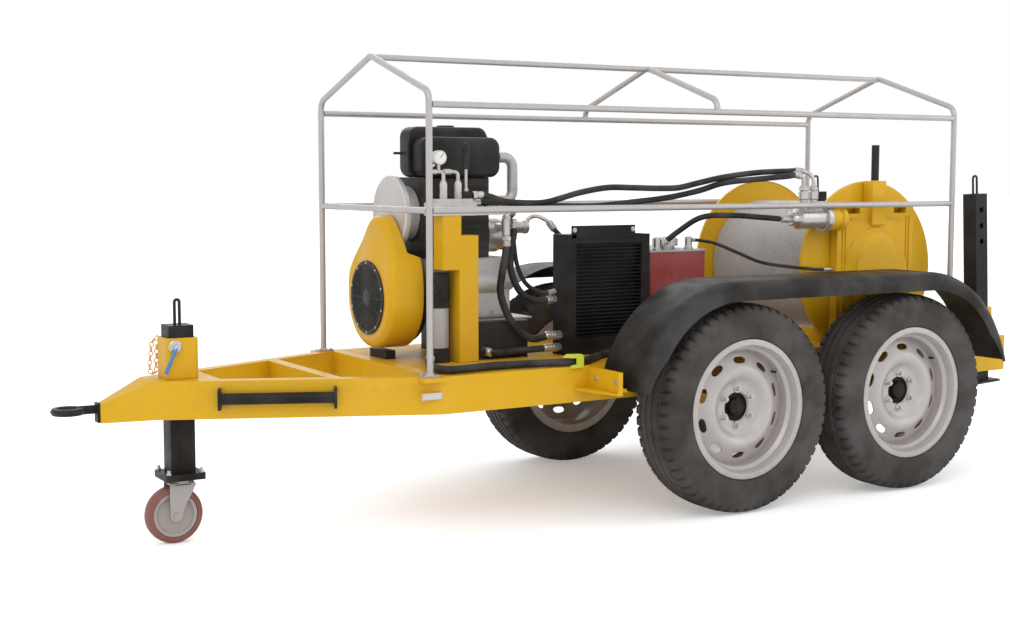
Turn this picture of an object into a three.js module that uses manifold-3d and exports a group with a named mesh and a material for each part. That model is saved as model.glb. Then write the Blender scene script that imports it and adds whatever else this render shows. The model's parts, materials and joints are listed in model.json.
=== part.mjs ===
// Cable pulling machine: a two-axle trailer with an engine, hydraulics and a rope drum.
// Millimetres, +Z up. The tow eye points to -X and the drawing is made with X = 0
// midway between the axles; the last lines move it so that the machine is centred on X = 0.
import * as THREE from 'three';
import { mergeVertices } from 'three/addons/utils/BufferGeometryUtils.js';
import Module from 'manifold-3d';

const wasm = await Module();
wasm.setup();

// Driving dimensions
const GAP = 0.3;                    // between touching pieces
const RUNNING_CLEARANCE = 0.5;      // around a leg in its sleeve
const CUT_OVERRUN = 5;              // how far a cut runs past its faces
const TOW_TIP_X = -2420;
const REAR_END_X = 970;
const AXLE_SPACING = 726;
const TYRE_RADIUS = 340;
const RIM_FACE_Y = 590;             // outer plane of a rim from the centre plane
const FENDER_OUTER_Y = 620;
const FRAME_TOP = 494;
const FRAME_BOTTOM = 382;
const FRAME_HALF_WIDTH = 400;
const CANOPY_FRONT_X = -1410;
const CANOPY_MIDDLE_X = -345;
const CANOPY_REAR_X = 755;
const POST_INSET = 14;               // from the frame's side to a post's centre line
const RIDGE_Z = 1458;
const DRUM_X = 424;
const DRUM_Z = 752;
const DRUM_FLANGE_RADIUS = 314;
const ENGINE_Y = 120;
const JACK_X = -2046;
const REAR_LEG_Y = 420;
const REAR_LEG_X = 868;             // where the leg's centre line crosses the beam's middle height

const AXLE_X = AXLE_SPACING / 2;
const CANOPY_HALF_WIDTH = FRAME_HALF_WIDTH - POST_INSET;
const SIDES = [-1, 1];              // near side (-Y) and far side (+Y)
const DEGREE = Math.PI / 180;

// Finishes
const paint = (color, roughness = 0.5) => new THREE.MeshStandardMaterial({ color, roughness, metalness: 0.1 });
const metal = (color, roughness = 0.4) => new THREE.MeshStandardMaterial({ color, roughness, metalness: 0.9 });
const YELLOW = paint(0xe3a81a);
const BLACK = paint(0x26221f);
const RED = paint(0x8a2320);
const BLUE = paint(0x2f78b8);
const RUBBER = paint(0x36312e, 0.85);
const CASTER_RED = paint(0x8f4a40, 0.6);
const GALVANISED = metal(0xc9c5c0, 0.5);
const SILVER_PAINT = paint(0xb9b4b0, 0.45);
const STEEL = metal(0x9a9896, 0.35);

// A closed geometry as a solid: shared points merged, collapsed triangles dropped.
function solid(geometry) {
  const bare = geometry.index ? geometry.toNonIndexed() : geometry.clone();
  bare.deleteAttribute('normal');
  bare.deleteAttribute('uv');
  const merged = mergeVertices(bare);
  const corners = merged.index.array;
  const kept = [];
  for (let i = 0; i < corners.length; i += 3) {
    const [a, b, c] = [corners[i], corners[i + 1], corners[i + 2]];
    if (a !== b && b !== c && c !== a) kept.push(a, b, c);
  }
  const vertProperties = new Float32Array(merged.attributes.position.array);
  const body = new wasm.Manifold(new wasm.Mesh({ numProp: 3, vertProperties, triVerts: new Uint32Array(kept) }));
  if (body.volume() > 0) return body;
  for (let i = 0; i < kept.length; i += 3) [kept[i], kept[i + 1]] = [kept[i + 1], kept[i]];
  return new wasm.Manifold(new wasm.Mesh({ numProp: 3, vertProperties, triVerts: new Uint32Array(kept) }));
}

const join = (...bodies) => bodies.reduce((whole, body) => whole.add(body));
const cut = (body, ...tools) => tools.reduce((whole, tool) => whole.subtract(tool), body);

// A box between two values on each axis.
function block(x0, x1, y0, y1, z0, z1) {
  const box = new THREE.BoxGeometry(x1 - x0, y1 - y0, z1 - z0);
  return solid(box.translate((x0 + x1) / 2, (y0 + y1) / 2, (z0 + z1) / 2));
}

// Turns a shape made around +Y so that it runs along the named axis.
function alongAxis(geometry, axis) {
  if (axis === 'x') geometry.rotateZ(-Math.PI / 2);
  if (axis === 'z') geometry.rotateX(Math.PI / 2);
  return geometry;
}

// A cylinder or cone along an axis, from one value to another, about a centre line.
function rod(axis, from, to, radius, centre, sides = 20, endRadius = radius) {
  const shape = alongAxis(new THREE.CylinderGeometry(endRadius, radius, to - from, sides), axis);
  const place = new THREE.Vector3(...centre);
  place[axis] = (from + to) / 2;
  return solid(shape.translate(place.x, place.y, place.z));
}

// A profile of [radius, place] points turned about an axis through the centre.
function turned(axis, profile, centre, segments) {
  const points = profile.map(([radius, place]) => new THREE.Vector2(radius, place));
  const shape = alongAxis(new THREE.LatheGeometry(points, segments), axis);
  return solid(shape.translate(...centre));
}

// An outline extruded along an axis. Its points are [x, z] along y, [x, y] along z, [y, z] along x.
function prism(axis, outline, from, to) {
  const shape = new THREE.Shape(outline.map(([u, v]) => new THREE.Vector2(u, v)));
  const slab = new THREE.ExtrudeGeometry(shape, { depth: to - from, bevelEnabled: false });
  if (axis === 'z') slab.translate(0, 0, from);
  if (axis === 'y') slab.rotateX(Math.PI / 2).translate(0, to, 0);
  if (axis === 'x') {
    const [y, z, x] = [[0, 1, 0], [0, 0, 1], [1, 0, 0]].map((v) => new THREE.Vector3(...v));
    slab.applyMatrix4(new THREE.Matrix4().makeBasis(y, z, x)).translate(from, 0, 0);
  }
  return solid(slab);
}

function roundSection(radius, sides) {
  const points = [];
  for (let i = 0; i < sides; i += 1) {
    const angle = (i / sides) * 2 * Math.PI;
    points.push(new THREE.Vector2(radius * Math.cos(angle), radius * Math.sin(angle)));
  }
  return new THREE.Shape(points);
}

// A path that puts one ring of a tube at each of its given points.
class RingPath extends THREE.Curve {
  constructor(rings) {
    super();
    this.rings = rings;
  }

  getPoint(t) {
    return this.rings[Math.round(t * (this.rings.length - 1))].clone();
  }

  getPointAt(u) {
    return this.getPoint(u);
  }

  getTangentAt(u) {
    const i = Math.round(u * (this.rings.length - 1));
    const here = this.rings[i];
    const tangent = new THREE.Vector3();
    if (i > 0) tangent.add(here.clone().sub(this.rings[i - 1]).normalize());
    if (i < this.rings.length - 1) tangent.add(this.rings[i + 1].clone().sub(here).normalize());
    return tangent.normalize();
  }
}

const BEND_STEPS = 3;

// A bent tube: straight runs between corners, each corner an arc of the bend radius.
function bentTube(corners, bendRadius, tubeRadius, sides = 6) {
  const points = corners.map((corner) => new THREE.Vector3(...corner));
  const rings = [points[0]];
  for (let i = 1; i < points.length - 1; i += 1) {
    const into = points[i].clone().sub(points[i - 1]).normalize();
    const out = points[i + 1].clone().sub(points[i]).normalize();
    const turn = into.angleTo(out);
    const inward = out.clone().addScaledVector(into, -into.dot(out)).normalize();
    const start = points[i].clone().addScaledVector(into, -bendRadius * Math.tan(turn / 2));
    for (let k = 0; k <= BEND_STEPS; k += 1) {
      const angle = (turn * k) / BEND_STEPS;
      const ring = start.clone().addScaledVector(into, bendRadius * Math.sin(angle));
      rings.push(ring.addScaledVector(inward, bendRadius * (1 - Math.cos(angle))));
    }
  }
  rings.push(points[points.length - 1]);
  const options = { steps: rings.length - 1, bevelEnabled: false, extrudePath: new RingPath(rings) };
  return solid(new THREE.ExtrudeGeometry(roundSection(tubeRadius, sides), options));
}

const HOSE_SIDES = 6;
const HOSE_STEP_SHARE = 3.3;        // ring spacing as a share of the hose's diameter

// A hose along a smooth curve through the points of its route.
function hose(route, radius) {
  const curve = new THREE.CatmullRomCurve3(route.map((point) => new THREE.Vector3(...point)), false, 'centripetal');
  const steps = Math.ceil(curve.getLength() / (2 * radius * HOSE_STEP_SHARE));
  const options = { steps, bevelEnabled: false, extrudePath: curve };
  return solid(new THREE.ExtrudeGeometry(roundSection(radius, HOSE_SIDES), options));
}

const machine = new THREE.Group();
let lean = machine;                 // the group that receives new pieces

function add(name, body, material) {
  const { vertProperties, triVerts } = body.getMesh();
  const geometry = new THREE.BufferGeometry();
  geometry.setAttribute('position', new THREE.BufferAttribute(vertProperties, 3));
  geometry.setIndex(new THREE.BufferAttribute(triVerts, 1));
  geometry.computeVertexNormals();
  const mesh = new THREE.Mesh(geometry, material);
  mesh.name = name;
  lean.add(mesh);
}

// Drawbar frame: tapered A-frame, straight sides, deck, drum well, fender arms
const NOSE_FRONT_X = -2282;
const NOSE_FRONT_HALF = 18;
const NOSE_FRONT_TOP = 432;
const NOSE_FRONT_BOTTOM = 378;
const NOSE_BACK_X = -2140;
const NOSE_BACK_HALF = 66;
const NOSE_TOP_END_X = -1952;
const BEND_X = -1375;
const MEMBER_WIDTH = 40;
const MEMBER_WALL = 5;
const CROSS_X = -1653;
const DECK_FRONT_X = -1390;
const DECK_THICKNESS = 6;
const DECK_REAR_X = 60;
const BAY_CROSS_XS = [-1110, -860, -480];
const SIDE_REAR_X = 804.7;
const WELL_REAR_X = 765;
const BEARER_WIDTH = 98;
const JACK_LEG_SIDE = 75;
const JACK_GUIDE_WALL = 8;
const POST_PAD_HALF = 35;
const POST_PAD_OVERHANG = 18;
const POST_PAD_DEPTH = 12;
const ARM_FRONT_X = -860;
const ARM_OUTER_INSET = 45;
const ARM_TOP = 492;
const ARM_BOTTOM = 420;
const ARM_GUSSET_REACH = 70;
const ARM_GUSSET_THICKNESS = 6;

const BEARER_INNER_Y = FRAME_HALF_WIDTH - BEARER_WIDTH;
const POST_PAD_OUTER_Y = FRAME_HALF_WIDTH + POST_PAD_OVERHANG;
const ARM_OUTER_Y = FENDER_OUTER_Y - ARM_OUTER_INSET;
const taper = (FRAME_HALF_WIDTH - NOSE_BACK_HALF) / (BEND_X - NOSE_BACK_X);
const outerY = (x) => NOSE_BACK_HALF + taper * (x - NOSE_BACK_X);
const slantedWidth = MEMBER_WIDTH * Math.hypot(1, taper);
const innerY = (x) => outerY(x) - slantedWidth;

// A slab across the frame between two X places, its ends on the lines of the A-frame.
function aFrameSlab(x0, x1, inset, z0, z1) {
  const [y0, y1] = [innerY(x0) - inset, innerY(x1) - inset];
  return prism('z', [[x0, -y0], [x1, -y1], [x1, y1], [x0, y0]], z0, z1);
}

function nose() {
  const back = [NOSE_BACK_X + GAP, NOSE_BACK_HALF, FRAME_BOTTOM, FRAME_TOP];
  const front = [NOSE_FRONT_X, NOSE_FRONT_HALF, NOSE_FRONT_BOTTOM, NOSE_FRONT_TOP];
  const corners = [front, back].flatMap(([x, half, bottom, top]) => [
    x, -half, bottom, x, half, bottom, x, half, top, x, -half, top,
  ]);
  const faces = [0, 3, 2, 0, 2, 1, 4, 5, 6, 4, 6, 7, 0, 1, 5, 0, 5, 4, 3, 7, 6, 3, 6, 2, 0, 4, 7, 0, 7, 3, 1, 2, 6, 1, 6, 5];
  const geometry = new THREE.BufferGeometry();
  geometry.setAttribute('position', new THREE.Float32BufferAttribute(corners, 3));
  geometry.setIndex(faces);
  return solid(geometry);
}

function fenderArm(side, backX) {
  const [y0, y1] = [FRAME_HALF_WIDTH - MEMBER_WALL, ARM_OUTER_Y].map((y) => side * y).sort((a, b) => a - b);
  const shell = block(ARM_FRONT_X, backX, y0, y1, ARM_BOTTOM, ARM_TOP);
  const inside = [FRAME_HALF_WIDTH, ARM_OUTER_Y - MEMBER_WALL].map((y) => side * y).sort((a, b) => a - b);
  const hollow = block(ARM_FRONT_X + MEMBER_WALL, backX - MEMBER_WALL, ...inside,
    ARM_BOTTOM - CUT_OVERRUN, ARM_TOP - MEMBER_WALL);
  const gusset = [
    [ARM_FRONT_X - ARM_GUSSET_REACH, side * (FRAME_HALF_WIDTH - MEMBER_WALL)],
    [ARM_FRONT_X + MEMBER_WALL, side * (FRAME_HALF_WIDTH - MEMBER_WALL)],
    [ARM_FRONT_X + MEMBER_WALL, side * ARM_OUTER_Y],
    [ARM_FRONT_X - ARM_GUSSET_REACH / 4, side * (FRAME_HALF_WIDTH + ARM_OUTER_Y) / 2],
  ];
  return join(cut(shell, hollow), prism('z', gusset, ARM_BOTTOM, ARM_BOTTOM + ARM_GUSSET_THICKNESS));
}

// Fender profile: a flat top with a large arc at each end
const FENDER_TOP = 765;
const FENDER_FLAT_HALF = 300;
const FENDER_ARC_RADIUS = 515;
const FENDER_END_Z = 430;
const FENDER_SHEET = 4;
const FENDER_SKIRT = 70;
const FENDER_ARC_STEPS = 7;

const fenderArcZ = FENDER_TOP - FENDER_ARC_RADIUS;
const fenderEndX = FENDER_FLAT_HALF + Math.sqrt(FENDER_ARC_RADIUS ** 2 - (FENDER_END_Z - fenderArcZ) ** 2);
const fenderArmBackX = -fenderEndX - GAP;

function drawbarFrame() {
  const sideX = SIDE_REAR_X;
  const plan = [
    [NOSE_BACK_X, -NOSE_BACK_HALF], [BEND_X, -FRAME_HALF_WIDTH], [sideX, -FRAME_HALF_WIDTH],
    [sideX, FRAME_HALF_WIDTH], [BEND_X, FRAME_HALF_WIDTH], [NOSE_BACK_X, NOSE_BACK_HALF],
  ];
  const low = FRAME_BOTTOM - CUT_OVERRUN;
  const high = FRAME_TOP + CUT_OVERRUN;
  const pocketTop = FRAME_TOP - MEMBER_WALL;
  const halfMember = MEMBER_WIDTH / 2;
  const openings = [
    aFrameSlab(NOSE_TOP_END_X, CROSS_X - halfMember, 0, low, high),
    aFrameSlab(CROSS_X + halfMember, DECK_FRONT_X, 0, low, high),
  ];
  const bayFront = DECK_FRONT_X + MEMBER_WIDTH;
  const bayRear = DECK_REAR_X - MEMBER_WIDTH;
  const bayInnerY = FRAME_HALF_WIDTH - MEMBER_WIDTH;
  let bays = block(bayFront, bayRear, -bayInnerY, bayInnerY, low, high);
  BAY_CROSS_XS.forEach((x) => {
    bays = cut(bays, block(x - halfMember, x + halfMember, -bayInnerY, bayInnerY, low, FRAME_TOP - DECK_THICKNESS));
  });
  const well = block(DECK_REAR_X, WELL_REAR_X, -BEARER_INNER_Y, BEARER_INNER_Y, low, high);

  // Members are folded box sections, open underneath.
  const pockets = [
    aFrameSlab(CROSS_X - halfMember + MEMBER_WALL, CROSS_X + halfMember - MEMBER_WALL, 0, low, pocketTop),
    aFrameSlab(DECK_FRONT_X + MEMBER_WALL, bayFront - MEMBER_WALL, 0, low, pocketTop),
    block(bayRear + MEMBER_WALL, DECK_REAR_X - MEMBER_WALL, -bayInnerY, bayInnerY, low, pocketTop),
    block(WELL_REAR_X + MEMBER_WALL, sideX - MEMBER_WALL, -bayInnerY, bayInnerY, low, pocketTop),
  ];
  const wallShare = MEMBER_WALL * Math.hypot(1, taper);
  SIDES.forEach((side) => {
    const from = NOSE_TOP_END_X + MEMBER_WALL;
    const slanted = [
      [from, side * (outerY(from) - wallShare)], [BEND_X, side * (outerY(BEND_X) - wallShare)],
      [BEND_X, side * (innerY(BEND_X) + wallShare)], [from, side * (innerY(from) + wallShare)],
    ];
    pockets.push(prism('z', slanted, low, pocketTop));
    const straight = [bayInnerY + MEMBER_WALL, FRAME_HALF_WIDTH - MEMBER_WALL].map((y) => side * y);
    pockets.push(block(BEND_X + MEMBER_WIDTH, DECK_REAR_X, ...straight.sort((a, b) => a - b), low, pocketTop));
    const bearer = [BEARER_INNER_Y + MEMBER_WALL, FRAME_HALF_WIDTH - MEMBER_WALL].map((y) => side * y);
    pockets.push(block(DECK_REAR_X + MEMBER_WALL, WELL_REAR_X - MEMBER_WALL, ...bearer.sort((a, b) => a - b),
      low, pocketTop));
  });
  const noseFrom = NOSE_BACK_X + MEMBER_WALL;
  const noseTo = NOSE_TOP_END_X - MEMBER_WALL;
  const nosePocket = prism('z', [
    [noseFrom, -outerY(noseFrom) + wallShare], [noseTo, -outerY(noseTo) + wallShare],
    [noseTo, outerY(noseTo) - wallShare], [noseFrom, outerY(noseFrom) - wallShare],
  ], low, pocketTop);
  const holeHalf = JACK_LEG_SIDE / 2 + RUNNING_CLEARANCE;
  const guideHalf = holeHalf + JACK_GUIDE_WALL;
  const jackGuide = block(JACK_X - guideHalf, JACK_X + guideHalf, -guideHalf, guideHalf, low, high);
  const jackHole = block(JACK_X - holeHalf, JACK_X + holeHalf, -holeHalf, holeHalf, low, high);
  pockets.push(cut(nosePocket, jackGuide));

  const pads = SIDES.map((side) => {
    const across = [CANOPY_HALF_WIDTH - POST_PAD_HALF, POST_PAD_OUTER_Y].map((y) => side * y).sort((a, b) => a - b);
    return block(CANOPY_FRONT_X - POST_PAD_HALF, CANOPY_FRONT_X + POST_PAD_HALF, ...across,
      FRAME_TOP - POST_PAD_DEPTH, FRAME_TOP);
  });
  const slab = cut(prism('z', plan, FRAME_BOTTOM, FRAME_TOP), ...openings, bays, well, ...pockets, jackHole);
  return join(slab, nose(), ...pads, ...SIDES.map((side) => fenderArm(side, fenderArmBackX)));
}

add('drawbar_frame', drawbarFrame(), YELLOW);

// Tow eye: ring, shank and bolting plate
const TOW_Z = 418;
const EYE_TUBE_RADIUS = 11;
const EYE_RING_RADIUS = 38;
const SHANK_RADIUS = 13;
const TOW_PLATE_THICKNESS = 8;
const TOW_PLATE_HALF_WIDTH = 17;
const TOW_PLATE_TOP = 437;
const TOW_PLATE_BOTTOM = 380;
const EYE_STEPS = 16;
const EYE_SIDES = 6;

const eyeX = TOW_TIP_X + EYE_RING_RADIUS + EYE_TUBE_RADIUS;
const towPlateBackX = NOSE_FRONT_X - GAP;
const ring = new THREE.TorusGeometry(EYE_RING_RADIUS, EYE_TUBE_RADIUS, EYE_SIDES, EYE_STEPS);
const shankEnd = towPlateBackX - TOW_PLATE_THICKNESS / 2;
add('tow_eye', join(
  solid(ring.translate(eyeX, 0, TOW_Z)),
  rod('x', eyeX + EYE_RING_RADIUS - EYE_TUBE_RADIUS / 2, shankEnd, SHANK_RADIUS, [0, 0, TOW_Z], 12),
  block(towPlateBackX - TOW_PLATE_THICKNESS, towPlateBackX, -TOW_PLATE_HALF_WIDTH, TOW_PLATE_HALF_WIDTH,
    TOW_PLATE_BOTTOM, TOW_PLATE_TOP),
), BLACK);

// Hand bar on the near side of the A-frame, between two end plates
const BAR_RADIUS = 17;
const BAR_STANDOFF = 21;
const BAR_Z = 443;
const BAR_START_X = -1973;
const BAR_LENGTH = 342;
const BAR_PLATE = 9;
const BAR_PLATE_HALF_HEIGHT = 31;
const BAR_PLATE_REACH = 40;

function handBar() {
  const half = BAR_LENGTH / 2;
  const plateY = (from) => [from, from + BAR_PLATE];
  const plates = [-half, half - BAR_PLATE].map((x) => {
    const [x0, x1] = plateY(x);
    return block(x0, x1, -BAR_PLATE_REACH, -GAP, BAR_Z - BAR_PLATE_HALF_HEIGHT, BAR_Z + BAR_PLATE_HALF_HEIGHT);
  });
  return join(rod('x', -half + BAR_PLATE / 2, half - BAR_PLATE / 2, BAR_RADIUS, [0, -BAR_STANDOFF, BAR_Z], 16), ...plates);
}
const alongSide = new THREE.Group();
const barAngle = Math.atan(taper);
const barMiddleX = BAR_START_X + (BAR_LENGTH / 2) * Math.cos(barAngle);
alongSide.position.set(barMiddleX, -outerY(barMiddleX), 0);
alongSide.rotation.z = -barAngle;
machine.add(alongSide);
lean = alongSide;
add('side_bar', handBar(), BLACK);
lean = machine;

// Front jack: sleeve on the frame, sliding leg, swivelling caster
const JACK_SLEEVE_WALL = 11;
const JACK_SLEEVE_TOP = 614.4;
const JACK_LEG_WALL = 6;
const JACK_PLATE_HALF = 60;
const JACK_PLATE_TOP = 213;
const JACK_PLATE_BOTTOM = 193;
const JACK_CAP_HALF = 38;
const JACK_CAP_TOP = 650;
const DRAIN_RADIUS = 12;
const HANDLE_WIRE = 4.2;
const HANDLE_TOP = 728;
const JACK_HANDLE_HALF = 7.4;
const HANDLE_SINK = 6;

const jackHole = JACK_LEG_SIDE / 2 + RUNNING_CLEARANCE;
const sleeveHalf = jackHole + JACK_SLEEVE_WALL;
const squareTube = (x, y, half, inner, z0, z1) => cut(
  block(x - half, x + half, y - half, y + half, z0, z1),
  block(x - inner, x + inner, y - inner, y + inner, z0 - CUT_OVERRUN, z1 + CUT_OVERRUN),
);

const HANDLE_BEND_SHARE = 0.98;

// A wire handle: an upside-down U in the plane of X and Z.
function wireHandle(x, y, half, bottom, top) {
  return bentTube([[x - half, y, bottom], [x - half, y, top - HANDLE_WIRE], [x + half, y, top - HANDLE_WIRE],
    [x + half, y, bottom]], half * HANDLE_BEND_SHARE, HANDLE_WIRE, 6);
}

add('jack_sleeve', squareTube(JACK_X, 0, sleeveHalf, jackHole, FRAME_TOP + GAP, JACK_SLEEVE_TOP), YELLOW);
add('jack_leg', join(
  squareTube(JACK_X, 0, JACK_LEG_SIDE / 2, JACK_LEG_SIDE / 2 - JACK_LEG_WALL, JACK_PLATE_TOP - JACK_LEG_WALL,
    JACK_CAP_TOP - JACK_LEG_WALL),
  cut(
    block(JACK_X - JACK_PLATE_HALF, JACK_X + JACK_PLATE_HALF, -JACK_PLATE_HALF, JACK_PLATE_HALF,
      JACK_PLATE_BOTTOM, JACK_PLATE_TOP),
    rod('z', JACK_PLATE_BOTTOM - CUT_OVERRUN, JACK_PLATE_TOP + CUT_OVERRUN, DRAIN_RADIUS, [JACK_X, 0, 0], 8),
  ),
  block(JACK_X - JACK_CAP_HALF, JACK_X + JACK_CAP_HALF, -JACK_CAP_HALF, JACK_CAP_HALF,
    JACK_SLEEVE_TOP + GAP, JACK_CAP_TOP),
  wireHandle(JACK_X, 0, JACK_HANDLE_HALF, JACK_CAP_TOP - HANDLE_SINK, HANDLE_TOP),
), BLACK);

// A clamping screw with a hanging lever, turning on an axis along Y.
const LOCK_BOSS_RADIUS = 11;
const LOCK_BOSS_LENGTH = 26;
const LOCK_ARM_RADIUS = 5;

function lockScrew(x, z, faceY, side, armLength, armAngle) {
  const start = faceY + GAP;
  const [y0, y1] = [start, start + LOCK_BOSS_LENGTH].map((y) => side * y).sort((a, b) => a - b);
  const arm = new THREE.CylinderGeometry(LOCK_ARM_RADIUS, LOCK_ARM_RADIUS, armLength, 8);
  arm.translate(0, -armLength / 2, 0).rotateZ(armAngle).rotateX(Math.PI / 2);
  arm.translate(x, side * (start + LOCK_BOSS_LENGTH - LOCK_ARM_RADIUS), z);
  return join(rod('y', y0, y1, LOCK_BOSS_RADIUS, [x, 0, z], 12), solid(arm));
}

const JACK_LOCK_X = -2070;
const JACK_LOCK_Z = 590;
const JACK_LOCK_ARM = 84;
const JACK_LOCK_ANGLE = -25 * DEGREE;
add('jack_lock_lever', lockScrew(JACK_LOCK_X, JACK_LOCK_Z, sleeveHalf, -1, JACK_LOCK_ARM, JACK_LOCK_ANGLE), BLUE);

const CASTER_RADIUS = 86;
const CASTER_TRAIL = 22;
const CASTER_TREAD_HALF = 23;
const CASTER_HUB_RADIUS = 67;
const CASTER_HUB_HALF = 19;
const CASTER_AXLE_RADIUS = 6;
const CASTER_RACE_RADIUS = 34;
const CASTER_RACE_HEIGHT = 11;
const FORK_INNER_HALF = 27;
const FORK_SHEET = 4;
const FORK_CROWN = 6;
const FORK_TOP_HALF = 36;
const FORK_EYE_HALF = 17;
const FORK_AXLE_END = 37;
const CASTER_BORE_CLEARANCE = 0.4;

const casterX = JACK_X - CASTER_TRAIL;
const raceTop = JACK_PLATE_BOTTOM - GAP;
const crownTop = raceTop - CASTER_RACE_HEIGHT;
const forkSide = [
  [JACK_X - FORK_TOP_HALF, crownTop], [casterX - FORK_EYE_HALF, CASTER_RADIUS],
  [casterX - FORK_EYE_HALF / 2, CASTER_RADIUS - FORK_EYE_HALF], [casterX + FORK_EYE_HALF / 2, CASTER_RADIUS - FORK_EYE_HALF],
  [casterX + FORK_EYE_HALF, CASTER_RADIUS], [JACK_X + FORK_TOP_HALF, crownTop],
];
add('caster_fork', join(
  rod('z', crownTop - FORK_CROWN / 2, raceTop, CASTER_RACE_RADIUS, [JACK_X, 0, 0], 20),
  block(JACK_X - FORK_TOP_HALF, JACK_X + FORK_TOP_HALF, -FORK_INNER_HALF - FORK_SHEET,
    FORK_INNER_HALF + FORK_SHEET, crownTop - FORK_CROWN, crownTop),
  prism('y', forkSide, -FORK_INNER_HALF - FORK_SHEET, -FORK_INNER_HALF),
  prism('y', forkSide, FORK_INNER_HALF, FORK_INNER_HALF + FORK_SHEET),
  rod('y', -FORK_AXLE_END, FORK_AXLE_END, CASTER_AXLE_RADIUS, [casterX, 0, CASTER_RADIUS], 12),
), GALVANISED);

const casterBore = CASTER_AXLE_RADIUS + CASTER_BORE_CLEARANCE;
const HUB_WEB_HALF = 6;
const HUB_BOSS_RADIUS = 18;
const HUB_BOSS_HALF = 26;
const HUB_RIM_INNER = 54;
add('caster_hub', turned('y', [
  [casterBore, -HUB_BOSS_HALF], [HUB_BOSS_RADIUS, -HUB_BOSS_HALF], [HUB_BOSS_RADIUS, -HUB_WEB_HALF],
  [HUB_RIM_INNER, -HUB_WEB_HALF], [HUB_RIM_INNER, -CASTER_HUB_HALF], [CASTER_HUB_RADIUS, -CASTER_HUB_HALF],
  [CASTER_HUB_RADIUS, CASTER_HUB_HALF], [HUB_RIM_INNER, CASTER_HUB_HALF], [HUB_RIM_INNER, HUB_WEB_HALF],
  [HUB_BOSS_RADIUS, HUB_WEB_HALF], [HUB_BOSS_RADIUS, HUB_BOSS_HALF], [casterBore, HUB_BOSS_HALF],
  [casterBore, -HUB_BOSS_HALF],
], [casterX, 0, CASTER_RADIUS], 14), SILVER_PAINT);

const CASTER_TYRE_SHOULDER = 8;
const casterTyreInner = CASTER_HUB_RADIUS + 2 * GAP;
add('caster_tyre', turned('y', [
  [casterTyreInner, -CASTER_TREAD_HALF], [CASTER_RADIUS - CASTER_TYRE_SHOULDER, -CASTER_TREAD_HALF],
  [CASTER_RADIUS, -CASTER_TREAD_HALF + CASTER_TYRE_SHOULDER], [CASTER_RADIUS, CASTER_TREAD_HALF - CASTER_TYRE_SHOULDER],
  [CASTER_RADIUS - CASTER_TYRE_SHOULDER, CASTER_TREAD_HALF], [casterTyreInner, CASTER_TREAD_HALF],
  [casterTyreInner, -CASTER_TREAD_HALF],
], [casterX, 0, CASTER_RADIUS], 24), CASTER_RED);

// Canopy frame: hoops with flanged feet, roof rails, mid rails
const TUBE_RADIUS = 10;
const TUBE_SIDES = 6;
const EAVE_CORNER_Z = 1330;
const EAVE_RAIL_Z = 1293;
const MID_RAIL_Z = 984;
const HOOP_BEND = 40;
const FOOT_HALF = 28;
const FOOT_OUTER = 13.5;
const FOOT_THICKNESS = 5;

// A roof bow across the machine, its ends running straight down to a height.
function hoopTube(x, endZ) {
  const y = CANOPY_HALF_WIDTH;
  return bentTube([[x, -y, endZ], [x, -y, EAVE_CORNER_Z], [x, 0, RIDGE_Z], [x, y, EAVE_CORNER_Z], [x, y, endZ]],
    HOOP_BEND, TUBE_RADIUS, TUBE_SIDES);
}

function hoop(x) {
  const footTop = FRAME_TOP + GAP + FOOT_THICKNESS;
  const feet = SIDES.map((side) => {
    const across = [CANOPY_HALF_WIDTH - FOOT_HALF, CANOPY_HALF_WIDTH + FOOT_OUTER].map((y) => side * y);
    return block(x - FOOT_HALF, x + FOOT_HALF, ...across.sort((a, b) => a - b), FRAME_TOP + GAP, footTop);
  });
  return join(hoopTube(x, FRAME_TOP + GAP + FOOT_THICKNESS / 2), ...feet);
}

const frontBar = rod('y', -CANOPY_HALF_WIDTH, CANOPY_HALF_WIDTH, TUBE_RADIUS, [CANOPY_FRONT_X, 0, MID_RAIL_Z], TUBE_SIDES);
add('front_hoop', join(hoop(CANOPY_FRONT_X), frontBar), GALVANISED);
add('rear_hoop', hoop(CANOPY_REAR_X), GALVANISED);

const tubeFlat = TUBE_RADIUS * Math.cos(Math.PI / TUBE_SIDES);
const railFrom = CANOPY_FRONT_X + tubeFlat + GAP;
const railTo = CANOPY_REAR_X - tubeFlat - GAP;
const railAt = (y, z) => rod('x', railFrom, railTo, TUBE_RADIUS, [0, y, z], TUBE_SIDES);
const ridgeDrop = HOOP_BEND * (1 / Math.cos(Math.atan((RIDGE_Z - EAVE_CORNER_Z) / CANOPY_HALF_WIDTH)) - 1);
add('roof_frame', join(
  hoopTube(CANOPY_MIDDLE_X, EAVE_RAIL_Z), railAt(-CANOPY_HALF_WIDTH, EAVE_RAIL_Z),
  railAt(CANOPY_HALF_WIDTH, EAVE_RAIL_Z),
  railAt(0, RIDGE_Z - ridgeDrop),
), GALVANISED);
add('near_mid_rail', railAt(-CANOPY_HALF_WIDTH, MID_RAIL_Z), GALVANISED);
add('far_mid_rail', railAt(CANOPY_HALF_WIDTH, MID_RAIL_Z), GALVANISED);

// Fenders: a bent sheet over both wheels with a skirt along its outer edge
const FENDER_INNER_Y = FRAME_HALF_WIDTH + GAP;

function fenderLine(offset, endZ) {
  const radius = FENDER_ARC_RADIUS - offset;
  const end = Math.asin((endZ - fenderArcZ) / radius);
  const half = [];
  for (let i = 0; i <= FENDER_ARC_STEPS; i += 1) {
    const angle = end + ((Math.PI / 2 - end) * i) / FENDER_ARC_STEPS;
    half.push([FENDER_FLAT_HALF + radius * Math.cos(angle), fenderArcZ + radius * Math.sin(angle)]);
  }
  return [...half, ...half.map(([x, z]) => [-x, z]).reverse()];
}

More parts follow.
